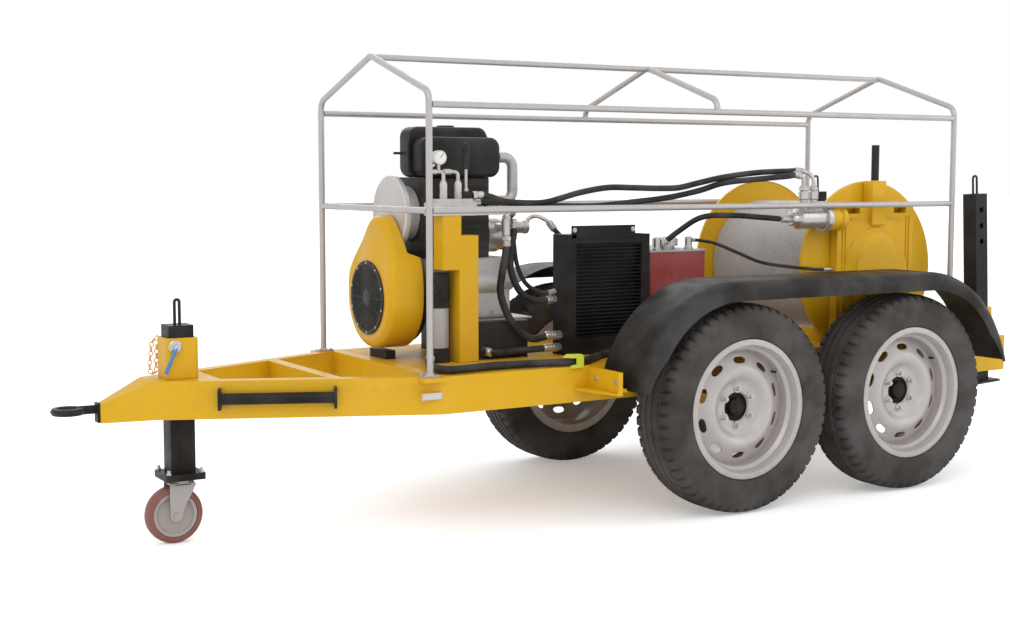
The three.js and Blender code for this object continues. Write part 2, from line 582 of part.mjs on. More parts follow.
SIDES.forEach((side) => {
  const across = (y0, y1) => [side * y0, side * y1].sort((a, b) => a - b);
  const sheet = [...fenderLine(0, FENDER_END_Z), ...fenderLine(FENDER_SHEET, FENDER_END_Z).reverse()];
  const skirt = [...fenderLine(0, FENDER_END_Z), ...fenderLine(FENDER_SKIRT, FENDER_END_Z).reverse()];
  add(side < 0 ? 'near_fender' : 'far_fender', join(
    prism('y', sheet, ...across(FENDER_INNER_Y, FENDER_OUTER_Y)),
    prism('y', skirt, ...across(FENDER_OUTER_Y - FENDER_SHEET, FENDER_OUTER_Y)),
  ), BLACK);
});

// Axles: square beams on brackets under the frame, with a stub for each wheel
const AXLE_HALF = 30;
const AXLE_BEAM_HALF_LENGTH = 405;
const AXLE_WALL = 6;
const AXLE_PLATE_HALF = 60;
const AXLE_PLATE = 8;
const STUB_RADIUS = 22;
const STUB_END_Y = 512;
const STUB_SIDES = 12;

// A stub is welded into the beam's end along the four walls and leaves the corners open.
const stubRootRadius = AXLE_HALF - AXLE_WALL / 2;

function axle(x) {
  const beam = cut(
    block(x - AXLE_HALF, x + AXLE_HALF, -AXLE_BEAM_HALF_LENGTH, AXLE_BEAM_HALF_LENGTH,
      TYRE_RADIUS - AXLE_HALF, TYRE_RADIUS + AXLE_HALF),
    block(x - AXLE_HALF + AXLE_WALL, x + AXLE_HALF - AXLE_WALL, -AXLE_BEAM_HALF_LENGTH - CUT_OVERRUN,
      AXLE_BEAM_HALF_LENGTH + CUT_OVERRUN, TYRE_RADIUS - AXLE_HALF + AXLE_WALL, TYRE_RADIUS + AXLE_HALF - AXLE_WALL),
  );
  const ends = SIDES.flatMap((side) => {
    const across = (y0, y1) => [side * y0, side * y1].sort((a, b) => a - b);
    const bracket = [BEARER_INNER_Y, FRAME_HALF_WIDTH];
    return [
      block(x - AXLE_PLATE_HALF, x + AXLE_PLATE_HALF, ...across(...bracket), FRAME_BOTTOM - GAP - AXLE_PLATE,
        FRAME_BOTTOM - GAP),
      block(x - AXLE_PLATE / 2, x + AXLE_PLATE / 2, ...across(...bracket), TYRE_RADIUS + AXLE_HALF - CUT_OVERRUN,
        FRAME_BOTTOM - GAP - AXLE_PLATE / 2),
      rod('y', ...across(AXLE_BEAM_HALF_LENGTH - MEMBER_WIDTH, STUB_END_Y), STUB_RADIUS, [x, 0, TYRE_RADIUS], STUB_SIDES),
      rod('y', ...across(AXLE_BEAM_HALF_LENGTH - MEMBER_WIDTH, AXLE_BEAM_HALF_LENGTH), stubRootRadius,
        [x, 0, TYRE_RADIUS], STUB_SIDES),
    ];
  });
  return join(beam, ...ends);
}

add('axle_front', axle(-AXLE_X), YELLOW);
add('axle_rear', axle(AXLE_X), YELLOW);

// Wheels: steel rim with ten slots, tyre over it
const WHEEL_SEGMENTS = 18;
const RIM_RADIUS = 222;
const RIM_INNER_Y = 424;
const RIM_SLOTS = 10;
const SLOT_HALF_LENGTH = 20;
const SLOT_HALF_HEIGHT = 9;
const SLOT_RING_SHARE = 0.71;
const TYRE_OUTER_Y = 598;
const TYRE_INNER_Y = 416;

// Radius as a share of the rim's, place across as a share of its width from the inboard flange.
const RIM_PROFILE_SHARES = [
  [0.31, 0.28], [0.31, 0.42], [0.78, 0.42], [0.78, 0.24], [0.98, 0], [1, 0.05], [0.915, 0.21], [0.81, 0.36],
  [0.81, 0.64], [0.915, 0.79], [1, 0.95], [0.98, 1], [0.78, 0.7], [0.78, 0.62], [0.6, 0.58], [0.53, 0.64],
  [0.25, 0.57], [0.2, 0.61],
];
// Where the tyre's bead lies on the rim, and the tyre's outside and inside beyond the rim.
const BEAD_SHARES = [[0.915, 0.79], [1, 0.95]];
const TYRE_OUTSIDE_SHARES = [[0.04, 0.9], [0.3, 1], [0.75, 0.98], [0.96, 0.8], [1, 0.6]];
const TYRE_INSIDE_SHARES = [[0.84, 0.7], [0.3, 0.86]];

function rim(x, side) {
  const width = RIM_FACE_Y - RIM_INNER_Y;
  const bore = STUB_RADIUS + 2 * GAP;
  const profile = RIM_PROFILE_SHARES.map(([r, w]) => [r * RIM_RADIUS, RIM_INNER_Y + w * width]);
  const inboardY = profile[0][1];
  const capY = profile[profile.length - 1][1];
  const closed = [[bore, inboardY], ...profile, [0, capY], [0, STUB_END_Y + GAP], [bore, STUB_END_Y + GAP], [bore, inboardY]];
  let disc = turned('y', closed.map(([r, y]) => [r, side * y]), [x, 0, TYRE_RADIUS], WHEEL_SEGMENTS);
  const ringRadius = SLOT_RING_SHARE * RIM_RADIUS;
  for (let i = 0; i < RIM_SLOTS; i += 1) {
    const slot = new THREE.BoxGeometry(2 * SLOT_HALF_LENGTH, width, 2 * SLOT_HALF_HEIGHT);
    slot.translate(0, side * (RIM_INNER_Y + width / 2), ringRadius).rotateY((i / RIM_SLOTS) * 2 * Math.PI);
    disc = cut(disc, solid(slot.translate(x, 0, TYRE_RADIUS)));
  }
  return disc;
}

function tyre(x, side) {
  const middleY = (TYRE_OUTER_Y + TYRE_INNER_Y) / 2;
  const half = (TYRE_OUTER_Y - TYRE_INNER_Y) / 2;
  const fromRim = ([r, w]) => [r * RIM_RADIUS + 2 * GAP, RIM_INNER_Y + w * (RIM_FACE_Y - RIM_INNER_Y) - middleY];
  const beyondRim = ([r, w]) => [RIM_RADIUS + r * (TYRE_RADIUS - RIM_RADIUS), w * half];
  const outline = [...BEAD_SHARES.map(fromRim), ...TYRE_OUTSIDE_SHARES.map(beyondRim)];
  const liner = TYRE_INSIDE_SHARES.map(beyondRim);
  const mirrored = (points) => points.map(([r, y]) => [r, -y]).reverse();
  const closed = [...outline, ...mirrored(outline), ...mirrored(liner), ...liner, outline[0]];
  return turned('y', closed.map(([r, y]) => [r, side * (middleY + y)]), [x, 0, TYRE_RADIUS], WHEEL_SEGMENTS);
}

[[-1, 'front'], [1, 'rear']].forEach(([end, endName]) => SIDES.forEach((side) => {
  const place = `${side < 0 ? 'near' : 'far'}_${endName}`;
  add(`rim_${place}`, rim(end * AXLE_X, side), SILVER_PAINT);
  add(`tyre_${place}`, tyre(end * AXLE_X, side), RUBBER);
}));

// Deck plate let into the frame
add('deck_plate', block(DECK_FRONT_X + MEMBER_WIDTH + GAP, DECK_REAR_X - MEMBER_WIDTH - GAP,
  -FRAME_HALF_WIDTH + MEMBER_WIDTH + GAP, FRAME_HALF_WIDTH - MEMBER_WIDTH - GAP,
  FRAME_TOP - DECK_THICKNESS + GAP, FRAME_TOP), YELLOW);
const deckZ = FRAME_TOP + GAP;

// Rear beam with a leg, a clamp and a lever at each end
const BEAM_HALF_WIDTH = 462;
const BEAM_BOTTOM = 366;
const BEAM_WALL = 6;
const REAR_LEG_HALF = 30;
const REAR_LEG_WALL = 5;
const REAR_LEG_TILT = 3 * DEGREE;
const REAR_LEG_TOP = 590;           // along the leg from the beam's middle height
const REAR_LEG_BOTTOM = -98;
const FOOT_PLATE_HALF = 59;
const FOOT_PLATE_THICKNESS = 8;
const REAR_SLEEVE_TOP = 172;
const REAR_SLEEVE_WALL = 9;
const LEG_HOLE_RADIUS = 11;
const LEG_HOLE_FIRST = 58;
const LEG_HOLE_PITCH = 58;
const LEG_HOLES = 3;
const LEG_HANDLE_RISE = 70;
const LEG_HANDLE_HALF = 10;
const REAR_LOCK_X = -2;
const REAR_LOCK_ALONG = 115;
const REAR_LOCK_ARM = 64;
const REAR_LOCK_ANGLE = 20 * DEGREE;

const beamFrontX = SIDE_REAR_X + GAP;
const beamMiddleZ = (FRAME_TOP + BEAM_BOTTOM) / 2;
const legHole = REAR_LEG_HALF + RUNNING_CLEARANCE;

// Puts what is drawn about a leg's own axis at its tilted place.
const atRearLeg = (body, side) => {
  const turn = new THREE.Matrix4().makeRotationY(-REAR_LEG_TILT);
  turn.setPosition(REAR_LEG_X, side * REAR_LEG_Y, beamMiddleZ);
  return body.transform(turn.elements);
};

function rearBeam() {
  const shell = block(beamFrontX, REAR_END_X, -BEAM_HALF_WIDTH, BEAM_HALF_WIDTH, BEAM_BOTTOM, FRAME_TOP);
  const hollow = block(beamFrontX + BEAM_WALL, REAR_END_X - BEAM_WALL, -BEAM_HALF_WIDTH + BEAM_WALL,
    BEAM_HALF_WIDTH - BEAM_WALL, BEAM_BOTTOM - CUT_OVERRUN, FRAME_TOP - BEAM_WALL);
  const sleeveHalf = legHole + REAR_SLEEVE_WALL;
  const reach = REAR_SLEEVE_TOP;
  const guides = SIDES.map((side) => atRearLeg(
    block(-sleeveHalf, sleeveHalf, -sleeveHalf, sleeveHalf, beamMiddleZ - FRAME_TOP, reach), side));
  const holes = SIDES.map((side) => atRearLeg(
    block(-legHole, legHole, -legHole, legHole, -reach, reach + CUT_OVERRUN), side));
  return cut(join(cut(shell, hollow), ...guides), ...holes);
}
add('rear_beam', rearBeam(), YELLOW);

SIDES.forEach((side) => {
  const place = side < 0 ? 'near' : 'far';
  const inner = REAR_LEG_HALF - REAR_LEG_WALL;
  let leg = join(
    squareTube(0, 0, REAR_LEG_HALF, inner, REAR_LEG_BOTTOM, REAR_LEG_TOP),
    block(-REAR_LEG_HALF, REAR_LEG_HALF, -REAR_LEG_HALF, REAR_LEG_HALF, REAR_LEG_TOP - REAR_LEG_WALL, REAR_LEG_TOP),
    block(-FOOT_PLATE_HALF, FOOT_PLATE_HALF, -FOOT_PLATE_HALF, FOOT_PLATE_HALF,
      REAR_LEG_BOTTOM - FOOT_PLATE_THICKNESS, REAR_LEG_BOTTOM),
    wireHandle(0, 0, LEG_HANDLE_HALF, REAR_LEG_TOP - REAR_LEG_WALL / 2, REAR_LEG_TOP + LEG_HANDLE_RISE),
  );
  for (let i = 0; i < LEG_HOLES; i += 1) {
    const z = REAR_LEG_TOP - LEG_HOLE_FIRST - i * LEG_HOLE_PITCH;
    leg = cut(leg, rod('y', -REAR_LEG_HALF - CUT_OVERRUN, REAR_LEG_HALF + CUT_OVERRUN, LEG_HOLE_RADIUS, [0, 0, z], 6));
  }
  add(`rear_leg_${place}`, atRearLeg(leg, side), BLACK);
  const screw = lockScrew(REAR_LOCK_X, REAR_LOCK_ALONG, legHole + REAR_SLEEVE_WALL, side, REAR_LOCK_ARM, REAR_LOCK_ANGLE);
  add(`rear_lock_lever_${place}`, atRearLeg(screw, side), BLUE);
});

// Engine base and what stands in front of it on the deck
const BASE_FRONT_X = -1090;
const BASE_LENGTH = 195;
const BASE_NEAR_Y = -100;
const BASE_DEPTH = 385;
const BASE_HEIGHT = 120;
const TRAY_THICKNESS = 6;
const TRAY_FRONT_X = -1215;
const TRAY_REAR_X = -850;
const TRAY_NEAR_Y = -52;
const FOOT_WIDTH = 34;

const baseTop = deckZ + BASE_HEIGHT;
const trayTop = baseTop + TRAY_THICKNESS;
const baseFarY = BASE_NEAR_Y + BASE_DEPTH;
const frontFoot = (y) => block(TRAY_FRONT_X, TRAY_FRONT_X + FOOT_WIDTH, y, y + FOOT_WIDTH, deckZ, baseTop + TRAY_THICKNESS / 2);
add('engine_base', join(
  block(BASE_FRONT_X, BASE_FRONT_X + BASE_LENGTH, BASE_NEAR_Y, baseFarY, deckZ, baseTop),
  block(TRAY_FRONT_X, TRAY_REAR_X, TRAY_NEAR_Y, baseFarY, baseTop, trayTop),
  frontFoot(ENGINE_Y + FOOT_WIDTH), frontFoot(baseFarY - FOOT_WIDTH),
), BLACK);

// Crankcase with the starter, cylinder block with the black backplate
const CASE_FRONT_X = -1224;
const CASE_REAR_X = -932;
const CASE_HALF_WIDTH = 165;
const CASE_HEIGHT = 198;
const STARTER_RADIUS = 38;
const STARTER_LENGTH = 150;
const STARTER_END_X = -920;
const STARTER_RISE = 120;
const BLOCK_FRONT_X = -1223;
const BLOCK_REAR_X = -985;
const BLOCK_HALF_WIDTH = 120;
const BLOCK_TOP = 1080;
const BACKPLATE_RADIUS = 150;
const FAN_REAR_X = -1250;
const FAN_DEPTH = 120;
const FAN_Z = 692;
const FAN_RADIUS = 165;
const FAN_BEVEL = 26;
const FAN_WALL = 4;
const NECK_SETBACK = 25;
// The neck narrows upwards from the bowl: half width and height above its centre, as shares of the bowl's radius.
const NECK_SHARES = [[1, 0], [1, 0.4], [0.93, 0.75], [0.72, 1.11], [0.45, 1.36], [0.22, 1.59]];
const DISC_SETBACK = 78;
const DISC_RADIUS = 124;
const DISC_THICKNESS = 22;
const DISC_DRUM_RADIUS = 96;
const DISC_Z = 962;
const GRILLE_RADIUS = 112;
const GRILLE_THICKNESS = 6;
const GRILLE_RING_SHARES = [0.38, 0.69, 1];
const GRILLE_RING_WIDTH = 9;
const GRILLE_SPOKES = 2;
const GRILLE_SEGMENTS = 16;

const FAN_X = FAN_REAR_X - FAN_DEPTH;
const NECK_FRONT_X = FAN_X + NECK_SETBACK;
const DISC_X = FAN_X + DISC_SETBACK;
const caseTop = trayTop + GAP + CASE_HEIGHT;
const caseNearY = ENGINE_Y - CASE_HALF_WIDTH;
const starterNearY = caseNearY + STARTER_RADIUS / 3;
add('crankcase', join(
  rod('x', FAN_REAR_X + GAP, CASE_FRONT_X + GAP, BACKPLATE_RADIUS, [0, ENGINE_Y, FAN_Z], 20),
  block(CASE_FRONT_X, CASE_REAR_X, caseNearY, ENGINE_Y + CASE_HALF_WIDTH, trayTop + GAP, caseTop),
  rod('x', STARTER_END_X - STARTER_LENGTH, STARTER_END_X, STARTER_RADIUS, [0, starterNearY, trayTop + STARTER_RISE], 12),
), STEEL);

const discRearX = DISC_X + DISC_THICKNESS;
add('cylinder_block', join(
  block(BLOCK_FRONT_X, BLOCK_REAR_X, ENGINE_Y - BLOCK_HALF_WIDTH, ENGINE_Y + BLOCK_HALF_WIDTH, caseTop + GAP, BLOCK_TOP),
  rod('x', DISC_X, discRearX, DISC_RADIUS, [0, ENGINE_Y, DISC_Z], 24),
  rod('x', discRearX - DISC_THICKNESS / 2, BLOCK_FRONT_X + DISC_THICKNESS, DISC_DRUM_RADIUS, [0, ENGINE_Y, DISC_Z], 20),
), BLACK);

function fanHousing() {
  const centre = [0, ENGINE_Y, FAN_Z];
  const inner = FAN_RADIUS - FAN_WALL;
  const bowl = turned('x', [
    [GRILLE_RADIUS, FAN_X], [FAN_RADIUS - FAN_BEVEL, FAN_X], [FAN_RADIUS, FAN_X + FAN_BEVEL], [FAN_RADIUS, FAN_REAR_X],
    [0, FAN_REAR_X], [0, FAN_REAR_X - FAN_WALL], [inner, FAN_REAR_X - FAN_WALL], [inner, FAN_X + FAN_BEVEL],
    [inner - FAN_BEVEL, FAN_X + FAN_WALL], [GRILLE_RADIUS, FAN_X + FAN_WALL], [GRILLE_RADIUS, FAN_X],
  ], centre, 20);
  const neckOutline = (radius) => [...NECK_SHARES, ...NECK_SHARES.map(([across, up]) => [-across, up]).reverse()]
    .map(([across, up]) => [ENGINE_Y + across * radius, FAN_Z + up * radius]);
  const neck = cut(
    prism('x', neckOutline(FAN_RADIUS), NECK_FRONT_X, DISC_X - GAP),
    prism('x', neckOutline(inner), NECK_FRONT_X + FAN_WALL, DISC_X),
  );
  const room = turned('x', [[0, FAN_X], [GRILLE_RADIUS, FAN_X], [GRILLE_RADIUS, FAN_X + FAN_WALL],
    [inner - FAN_BEVEL, FAN_X + FAN_WALL], [inner, FAN_X + FAN_BEVEL], [inner, FAN_REAR_X - FAN_WALL],
    [0, FAN_REAR_X - FAN_WALL], [0, FAN_X]], centre, 20);
  const discRoom = rod('x', DISC_X - GAP, FAN_REAR_X + CUT_OVERRUN, DISC_RADIUS + GAP, [0, ENGINE_Y, DISC_Z], 24);
  return cut(join(bowl, cut(neck, room)), discRoom);
}
add('fan_housing', fanHousing(), YELLOW);

function grille() {
  const [x0, x1] = [FAN_X - GAP - GRILLE_THICKNESS, FAN_X - GAP];
  const rings = GRILLE_RING_SHARES.map((share) => {
    const outer = share * (GRILLE_RADIUS + GRILLE_RING_WIDTH);
    return cut(rod('x', x0, x1, outer, [0, ENGINE_Y, FAN_Z], GRILLE_SEGMENTS),
      rod('x', x0 - CUT_OVERRUN, x1 + CUT_OVERRUN, outer - GRILLE_RING_WIDTH, [0, ENGINE_Y, FAN_Z], GRILLE_SEGMENTS));
  });
  const spokes = [];
  for (let i = 0; i < GRILLE_SPOKES; i += 1) {
    const spoke = new THREE.BoxGeometry(GRILLE_THICKNESS, 2 * GRILLE_RADIUS + GRILLE_RING_WIDTH, GRILLE_RING_WIDTH);
    spoke.rotateX((i / GRILLE_SPOKES) * Math.PI).translate((x0 + x1) / 2, ENGINE_Y, FAN_Z);
    spokes.push(solid(spoke));
  }
  return join(...rings, ...spokes);
}
add('fan_grille', grille(), BLACK);

// Fuel tank on the block, exhaust pipe behind it
const FUEL_FRONT_X = -1240;
const FUEL_REAR_X = -950;
const FUEL_NEAR_Y = -20;
const FUEL_SEAM_Y = 60;
const FUEL_FAR_Y = 150;
const FUEL_NEAR_TOP = 1210;
const FUEL_FAR_TOP = 1245;
const FUEL_ROUND = 24;
const FUEL_SEAM_THICKNESS = 6;
const FUEL_SEAM_LIP = 10;

const fuelBottom = BLOCK_TOP + GAP;
const roundedOutline = (x0, x1, z0, z1, r) => {
  const points = [];
  [[x1 - r, z1 - r, 0], [x0 + r, z1 - r, 1], [x0 + r, z0 + r, 2], [x1 - r, z0 + r, 3]].forEach(([x, z, quarter]) => {
    for (let i = 0; i <= 2; i += 1) {
      const angle = ((quarter + i / 2) * Math.PI) / 2;
      points.push([x + r * Math.cos(angle), z + r * Math.sin(angle)]);
    }
  });
  return points;
};
add('fuel_tank', join(
  prism('y', roundedOutline(FUEL_FRONT_X, FUEL_REAR_X, fuelBottom, FUEL_NEAR_TOP, FUEL_ROUND), FUEL_NEAR_Y, FUEL_SEAM_Y),
  prism('y', roundedOutline(FUEL_FRONT_X - FUEL_SEAM_LIP, FUEL_REAR_X + FUEL_SEAM_LIP, fuelBottom,
    FUEL_NEAR_TOP + FUEL_SEAM_LIP, FUEL_ROUND), FUEL_SEAM_Y - FUEL_SEAM_THICKNESS / 2, FUEL_SEAM_Y + FUEL_SEAM_THICKNESS / 2),
  prism('y', roundedOutline(FUEL_FRONT_X, FUEL_REAR_X, fuelBottom, FUEL_FAR_TOP, FUEL_ROUND), FUEL_SEAM_Y, FUEL_FAR_Y),
), BLACK);

const PIPE_RADIUS = 18;
const PIPE_TOP_Z = 1130;
const PIPE_X = -883;
const PIPE_BOTTOM_Z = 985;
const PIPE_BEND = 30;
const PIPE_Y = 20;
const fuelSeamRearX = FUEL_REAR_X + FUEL_SEAM_LIP;
add('exhaust_pipe', bentTube([
  [BLOCK_REAR_X + GAP, PIPE_Y, PIPE_BOTTOM_Z + PIPE_RADIUS], [PIPE_X, PIPE_Y, PIPE_BOTTOM_Z + PIPE_RADIUS],
  [PIPE_X, PIPE_Y, PIPE_TOP_Z], [fuelSeamRearX + GAP, PIPE_Y, PIPE_TOP_Z],
], PIPE_BEND, PIPE_RADIUS, 10), STEEL);

// Pump set on the rear of the block
const PUMP_RADIUS = 66;
const PUMP_Z = 890;
const PUMP_Y = 60;
const PUMP_LENGTH = 100;
const PUMP_TAIL_RADIUS = 24;
const PUMP_TAIL_END_X = -822;
const PUMP_PORT_X = -944;
const PUMP_PORT_Z = 916;
const PUMP_PORT_RADIUS = 14;
const PUMP_PORT_Y = -66;
const pumpFrontX = BLOCK_REAR_X + GAP;
add('hydraulic_pump', join(
  rod('x', pumpFrontX, pumpFrontX + PUMP_LENGTH, PUMP_RADIUS, [0, PUMP_Y, PUMP_Z], 18),
  rod('x', pumpFrontX + PUMP_LENGTH / 2, PUMP_TAIL_END_X, PUMP_TAIL_RADIUS,
    [0, PUMP_Y - PUMP_RADIUS / 2, PUMP_Z + PUMP_TAIL_RADIUS], 12),
  rod('y', PUMP_PORT_Y, PUMP_Y, PUMP_PORT_RADIUS, [PUMP_PORT_X, 0, PUMP_PORT_Z], 10),
), BLACK);

// Filter column beside the valve stand
const COLUMN_X = -1218;
const COLUMN_Y = -86;
const COLUMN_RADIUS = 33;
const COLUMN_NECK_RADIUS = 28;
const COLUMN_FOOT_HEIGHT = 36;
const COLUMN_BOWL_HEIGHT = 150;
const COLUMN_TOP_HEIGHT = 285;
const COLUMN_GROOVE = 6;
const columnAt = [COLUMN_X, COLUMN_Y, 0];
add('filter_column', join(
  rod('z', deckZ, deckZ + COLUMN_FOOT_HEIGHT, COLUMN_RADIUS, columnAt, 12),
  rod('z', deckZ, deckZ + COLUMN_TOP_HEIGHT, COLUMN_NECK_RADIUS, columnAt, 12),
  rod('z', deckZ + COLUMN_FOOT_HEIGHT + COLUMN_GROOVE, deckZ + COLUMN_FOOT_HEIGHT + COLUMN_BOWL_HEIGHT, COLUMN_RADIUS,
    columnAt, 12),
  rod('z', deckZ + COLUMN_FOOT_HEIGHT + COLUMN_BOWL_HEIGHT + COLUMN_GROOVE, deckZ + COLUMN_TOP_HEIGHT, COLUMN_RADIUS,
    columnAt, 12),
), BLACK);

// Valve stand: a post stepped towards the front, the valve block on its top
const STAND_NEAR_Y = -137;
const STAND_DEPTH = 67;
const STAND_LEG_X = -1171;
const STAND_LEG_WIDTH = 69;
const STAND_BOX_X = -1229;
const STAND_BOX_BOTTOM = 789;
const STAND_BOX_TOP = 898;
const STAND_POST_WIDTH = 65;
const STAND_TOP = 960;
const VALVE_X = -1262;
const VALVE_LENGTH = 152;
const VALVE_HEIGHT = 53;
const VALVE_ARM_LENGTH = 118;
const VALVE_ARM_HEIGHT = 24;
const VALVE_ARM_WIDTH = 40;
const PORT_Y = -100;
const PORT_RADIUS = 12;
const PORT_TOP = 1082;
const PORT_CAP_RADIUS = 16;
const PORT_CAP_HEIGHT = 26;
const PORT_OFFSETS = [54, 106];
const GAUGE_OFFSET = 37;
const GAUGE_RADIUS = 23;
const GAUGE_DEPTH = 26;
const GAUGE_Z = 1142;
const GAUGE_STEM_RADIUS = 6;
const LEVER_X = -1127;
const BOOT_RADIUS = 17;
const BOOT_TOP_RADIUS = 12;
const BOOT_HEIGHT = 17;
const LEVER_BALL_RADIUS = 8;
const LEVER_ROD_RADIUS = 5;
const LEVER_GRIP_RADIUS = 10;
const LEVER_GRIP_Z = 1105;
const LEVER_TOP = 1190;

const standFarY = STAND_NEAR_Y + STAND_DEPTH;
add('valve_stand', join(
  block(STAND_LEG_X, STAND_LEG_X + STAND_LEG_WIDTH, STAND_NEAR_Y, standFarY, deckZ, STAND_BOX_TOP),
  block(STAND_BOX_X, STAND_LEG_X + STAND_LEG_WIDTH, STAND_NEAR_Y, standFarY, STAND_BOX_BOTTOM, STAND_BOX_TOP),
  block(STAND_BOX_X, STAND_BOX_X + STAND_POST_WIDTH, STAND_NEAR_Y, standFarY, STAND_BOX_BOTTOM, STAND_TOP),
), YELLOW);

const valveBottom = STAND_TOP + GAP;
const valveTop = valveBottom + VALVE_HEIGHT;
const gaugeX = VALVE_X + GAUGE_OFFSET;
add('valve_block', join(
  block(VALVE_X, VALVE_X + VALVE_LENGTH, STAND_NEAR_Y, standFarY, valveBottom, valveTop),
  block(VALVE_X + VALVE_LENGTH / 2, VALVE_X + VALVE_LENGTH + VALVE_ARM_LENGTH, PORT_Y - VALVE_ARM_WIDTH / 2,
    PORT_Y + VALVE_ARM_WIDTH / 2, valveBottom, valveBottom + VALVE_ARM_HEIGHT),
  ...PORT_OFFSETS.map((offset) => rod('z', valveTop - CUT_OVERRUN, PORT_TOP, PORT_RADIUS, [VALVE_X + offset, PORT_Y, 0], 10)),
  ...PORT_OFFSETS.map((offset) => rod('z', PORT_TOP - PORT_CAP_HEIGHT, PORT_TOP, PORT_CAP_RADIUS,
    [VALVE_X + offset, PORT_Y, 0], 6)),
  rod('z', PORT_TOP - CUT_OVERRUN, GAUGE_Z - GAUGE_RADIUS / 2, GAUGE_STEM_RADIUS, [gaugeX, PORT_Y, 0], 8),
  rod('y', PORT_Y - GAUGE_DEPTH / 2, PORT_Y + GAUGE_DEPTH / 2, GAUGE_RADIUS, [gaugeX, 0, GAUGE_Z], 14),
  rod('z', valveTop - CUT_OVERRUN, valveTop + BOOT_HEIGHT, BOOT_RADIUS, [LEVER_X, PORT_Y, 0], 12, BOOT_TOP_RADIUS),
), STEEL);

const leverBallZ = valveTop + BOOT_HEIGHT + GAP + LEVER_BALL_RADIUS;
const leverBall = new THREE.SphereGeometry(LEVER_BALL_RADIUS, 10, 6).rotateX(Math.PI / 2);
add('control_lever', join(
  solid(leverBall.translate(LEVER_X, PORT_Y, leverBallZ)),
  rod('z', leverBallZ, LEVER_TOP - CUT_OVERRUN, LEVER_ROD_RADIUS, [LEVER_X, PORT_Y, 0], 8),
  rod('z', LEVER_GRIP_Z, LEVER_TOP, LEVER_GRIP_RADIUS, [LEVER_X, PORT_Y, 0], 10),
), BLACK);

// Oil cooler with its finned face to the near side
const COOLER_X = -782;
const COOLER_WIDTH = 331;
const COOLER_NEAR_Y = -166;
const COOLER_DEPTH = 91;
const COOLER_TOP = 893;
const COOLER_PLATE_INSET = 16;
const COOLER_PLATE_LENGTH = 254;
const COOLER_PLATE_THICKNESS = 6;
const COOLER_PLATE_RISE = 30;
const FIN_FRAME = 40;
const FIN_TOP_MARGIN = 32;
const FIN_BOTTOM_MARGIN = 50;
const FIN_DEPTH = 12;
const FIN_COUNT = 7;
const FIN_SHARE = 0.62;             // metal as a share of the fin pitch

const coolerBackY = COOLER_NEAR_Y + COOLER_DEPTH;
function oilCooler() {
  const [x0, x1] = [COOLER_X + FIN_FRAME, COOLER_X + COOLER_WIDTH - FIN_FRAME];
  const [z0, z1] = [deckZ + FIN_BOTTOM_MARGIN, COOLER_TOP - FIN_TOP_MARGIN];
  const pitch = (z1 - z0) / FIN_COUNT;
  const grooves = [];
  for (let i = 0; i < FIN_COUNT; i += 1) {
    grooves.push(block(x0, x1, COOLER_NEAR_Y - CUT_OVERRUN, COOLER_NEAR_Y + FIN_DEPTH, z0 + i * pitch,
      z0 + (i + 1 - FIN_SHARE) * pitch));
  }
  const plateX = COOLER_X + COOLER_PLATE_INSET;
  return join(
    cut(block(COOLER_X, COOLER_X + COOLER_WIDTH, COOLER_NEAR_Y, coolerBackY, deckZ, COOLER_TOP), ...grooves),
    block(plateX, plateX + COOLER_PLATE_LENGTH, COOLER_NEAR_Y, COOLER_NEAR_Y + COOLER_PLATE_THICKNESS,
      COOLER_TOP - COOLER_PLATE_THICKNESS, COOLER_TOP + COOLER_PLATE_RISE),
  );
}
add('oil_cooler', oilCooler(), BLACK);

// Hydraulic tank: box, lid with two ports, filler cap
const TANK_X = -445;
const TANK_LENGTH = 245;
const TANK_NEAR_Y = -155;
const TANK_DEPTH = 340;
const TANK_TOP = 826;
const LID_THICKNESS = 5;
const LID_OVERHANG = 5;
const TANK_WALL = 4;
const TANK_PORT_RADIUS = 13;
const TANK_PORT_HEIGHT = 44;
const TANK_PORT_SHARES = [[0.2, 0.07], [0.82, 0.13]];
const FILLER_X = -300;
const FILLER_Y = -50;
const FILLER_NECK_RADIUS = 34;
const FILLER_NECK_HEIGHT = 10;
const FILLER_CAP_RADIUS = 45;
const FILLER_CAP_HEIGHT = 32;
const FILLER_HOLE_RADIUS = 26;

const lidTop = TANK_TOP + LID_THICKNESS;
const tankPorts = TANK_PORT_SHARES.map(([u, v]) => [TANK_X + u * TANK_LENGTH, TANK_NEAR_Y + v * TANK_DEPTH]);
const portTop = lidTop + TANK_PORT_HEIGHT;
add('hydraulic_tank', cut(
  join(
    block(TANK_X, TANK_X + TANK_LENGTH, TANK_NEAR_Y, TANK_NEAR_Y + TANK_DEPTH, deckZ, TANK_TOP),
    block(TANK_X - LID_OVERHANG, TANK_X + TANK_LENGTH + LID_OVERHANG, TANK_NEAR_Y - LID_OVERHANG,
      TANK_NEAR_Y + TANK_DEPTH + LID_OVERHANG, TANK_TOP, lidTop),
    rod('z', TANK_TOP, lidTop + FILLER_NECK_HEIGHT, FILLER_NECK_RADIUS, [FILLER_X, FILLER_Y, 0], 14),
    ...tankPorts.map(([x, y]) => rod('z', TANK_TOP, portTop, TANK_PORT_RADIUS, [x, y, 0], 10)),
  ),
  block(TANK_X + TANK_WALL, TANK_X + TANK_LENGTH - TANK_WALL, TANK_NEAR_Y + TANK_WALL,
    TANK_NEAR_Y + TANK_DEPTH - TANK_WALL, deckZ + TANK_WALL, TANK_TOP - TANK_WALL),
  rod('z', TANK_TOP - TANK_WALL - CUT_OVERRUN, lidTop + FILLER_NECK_HEIGHT + CUT_OVERRUN, FILLER_HOLE_RADIUS,
    [FILLER_X, FILLER_Y, 0], 14),
), RED);
const capBottom = lidTop + FILLER_NECK_HEIGHT + GAP;
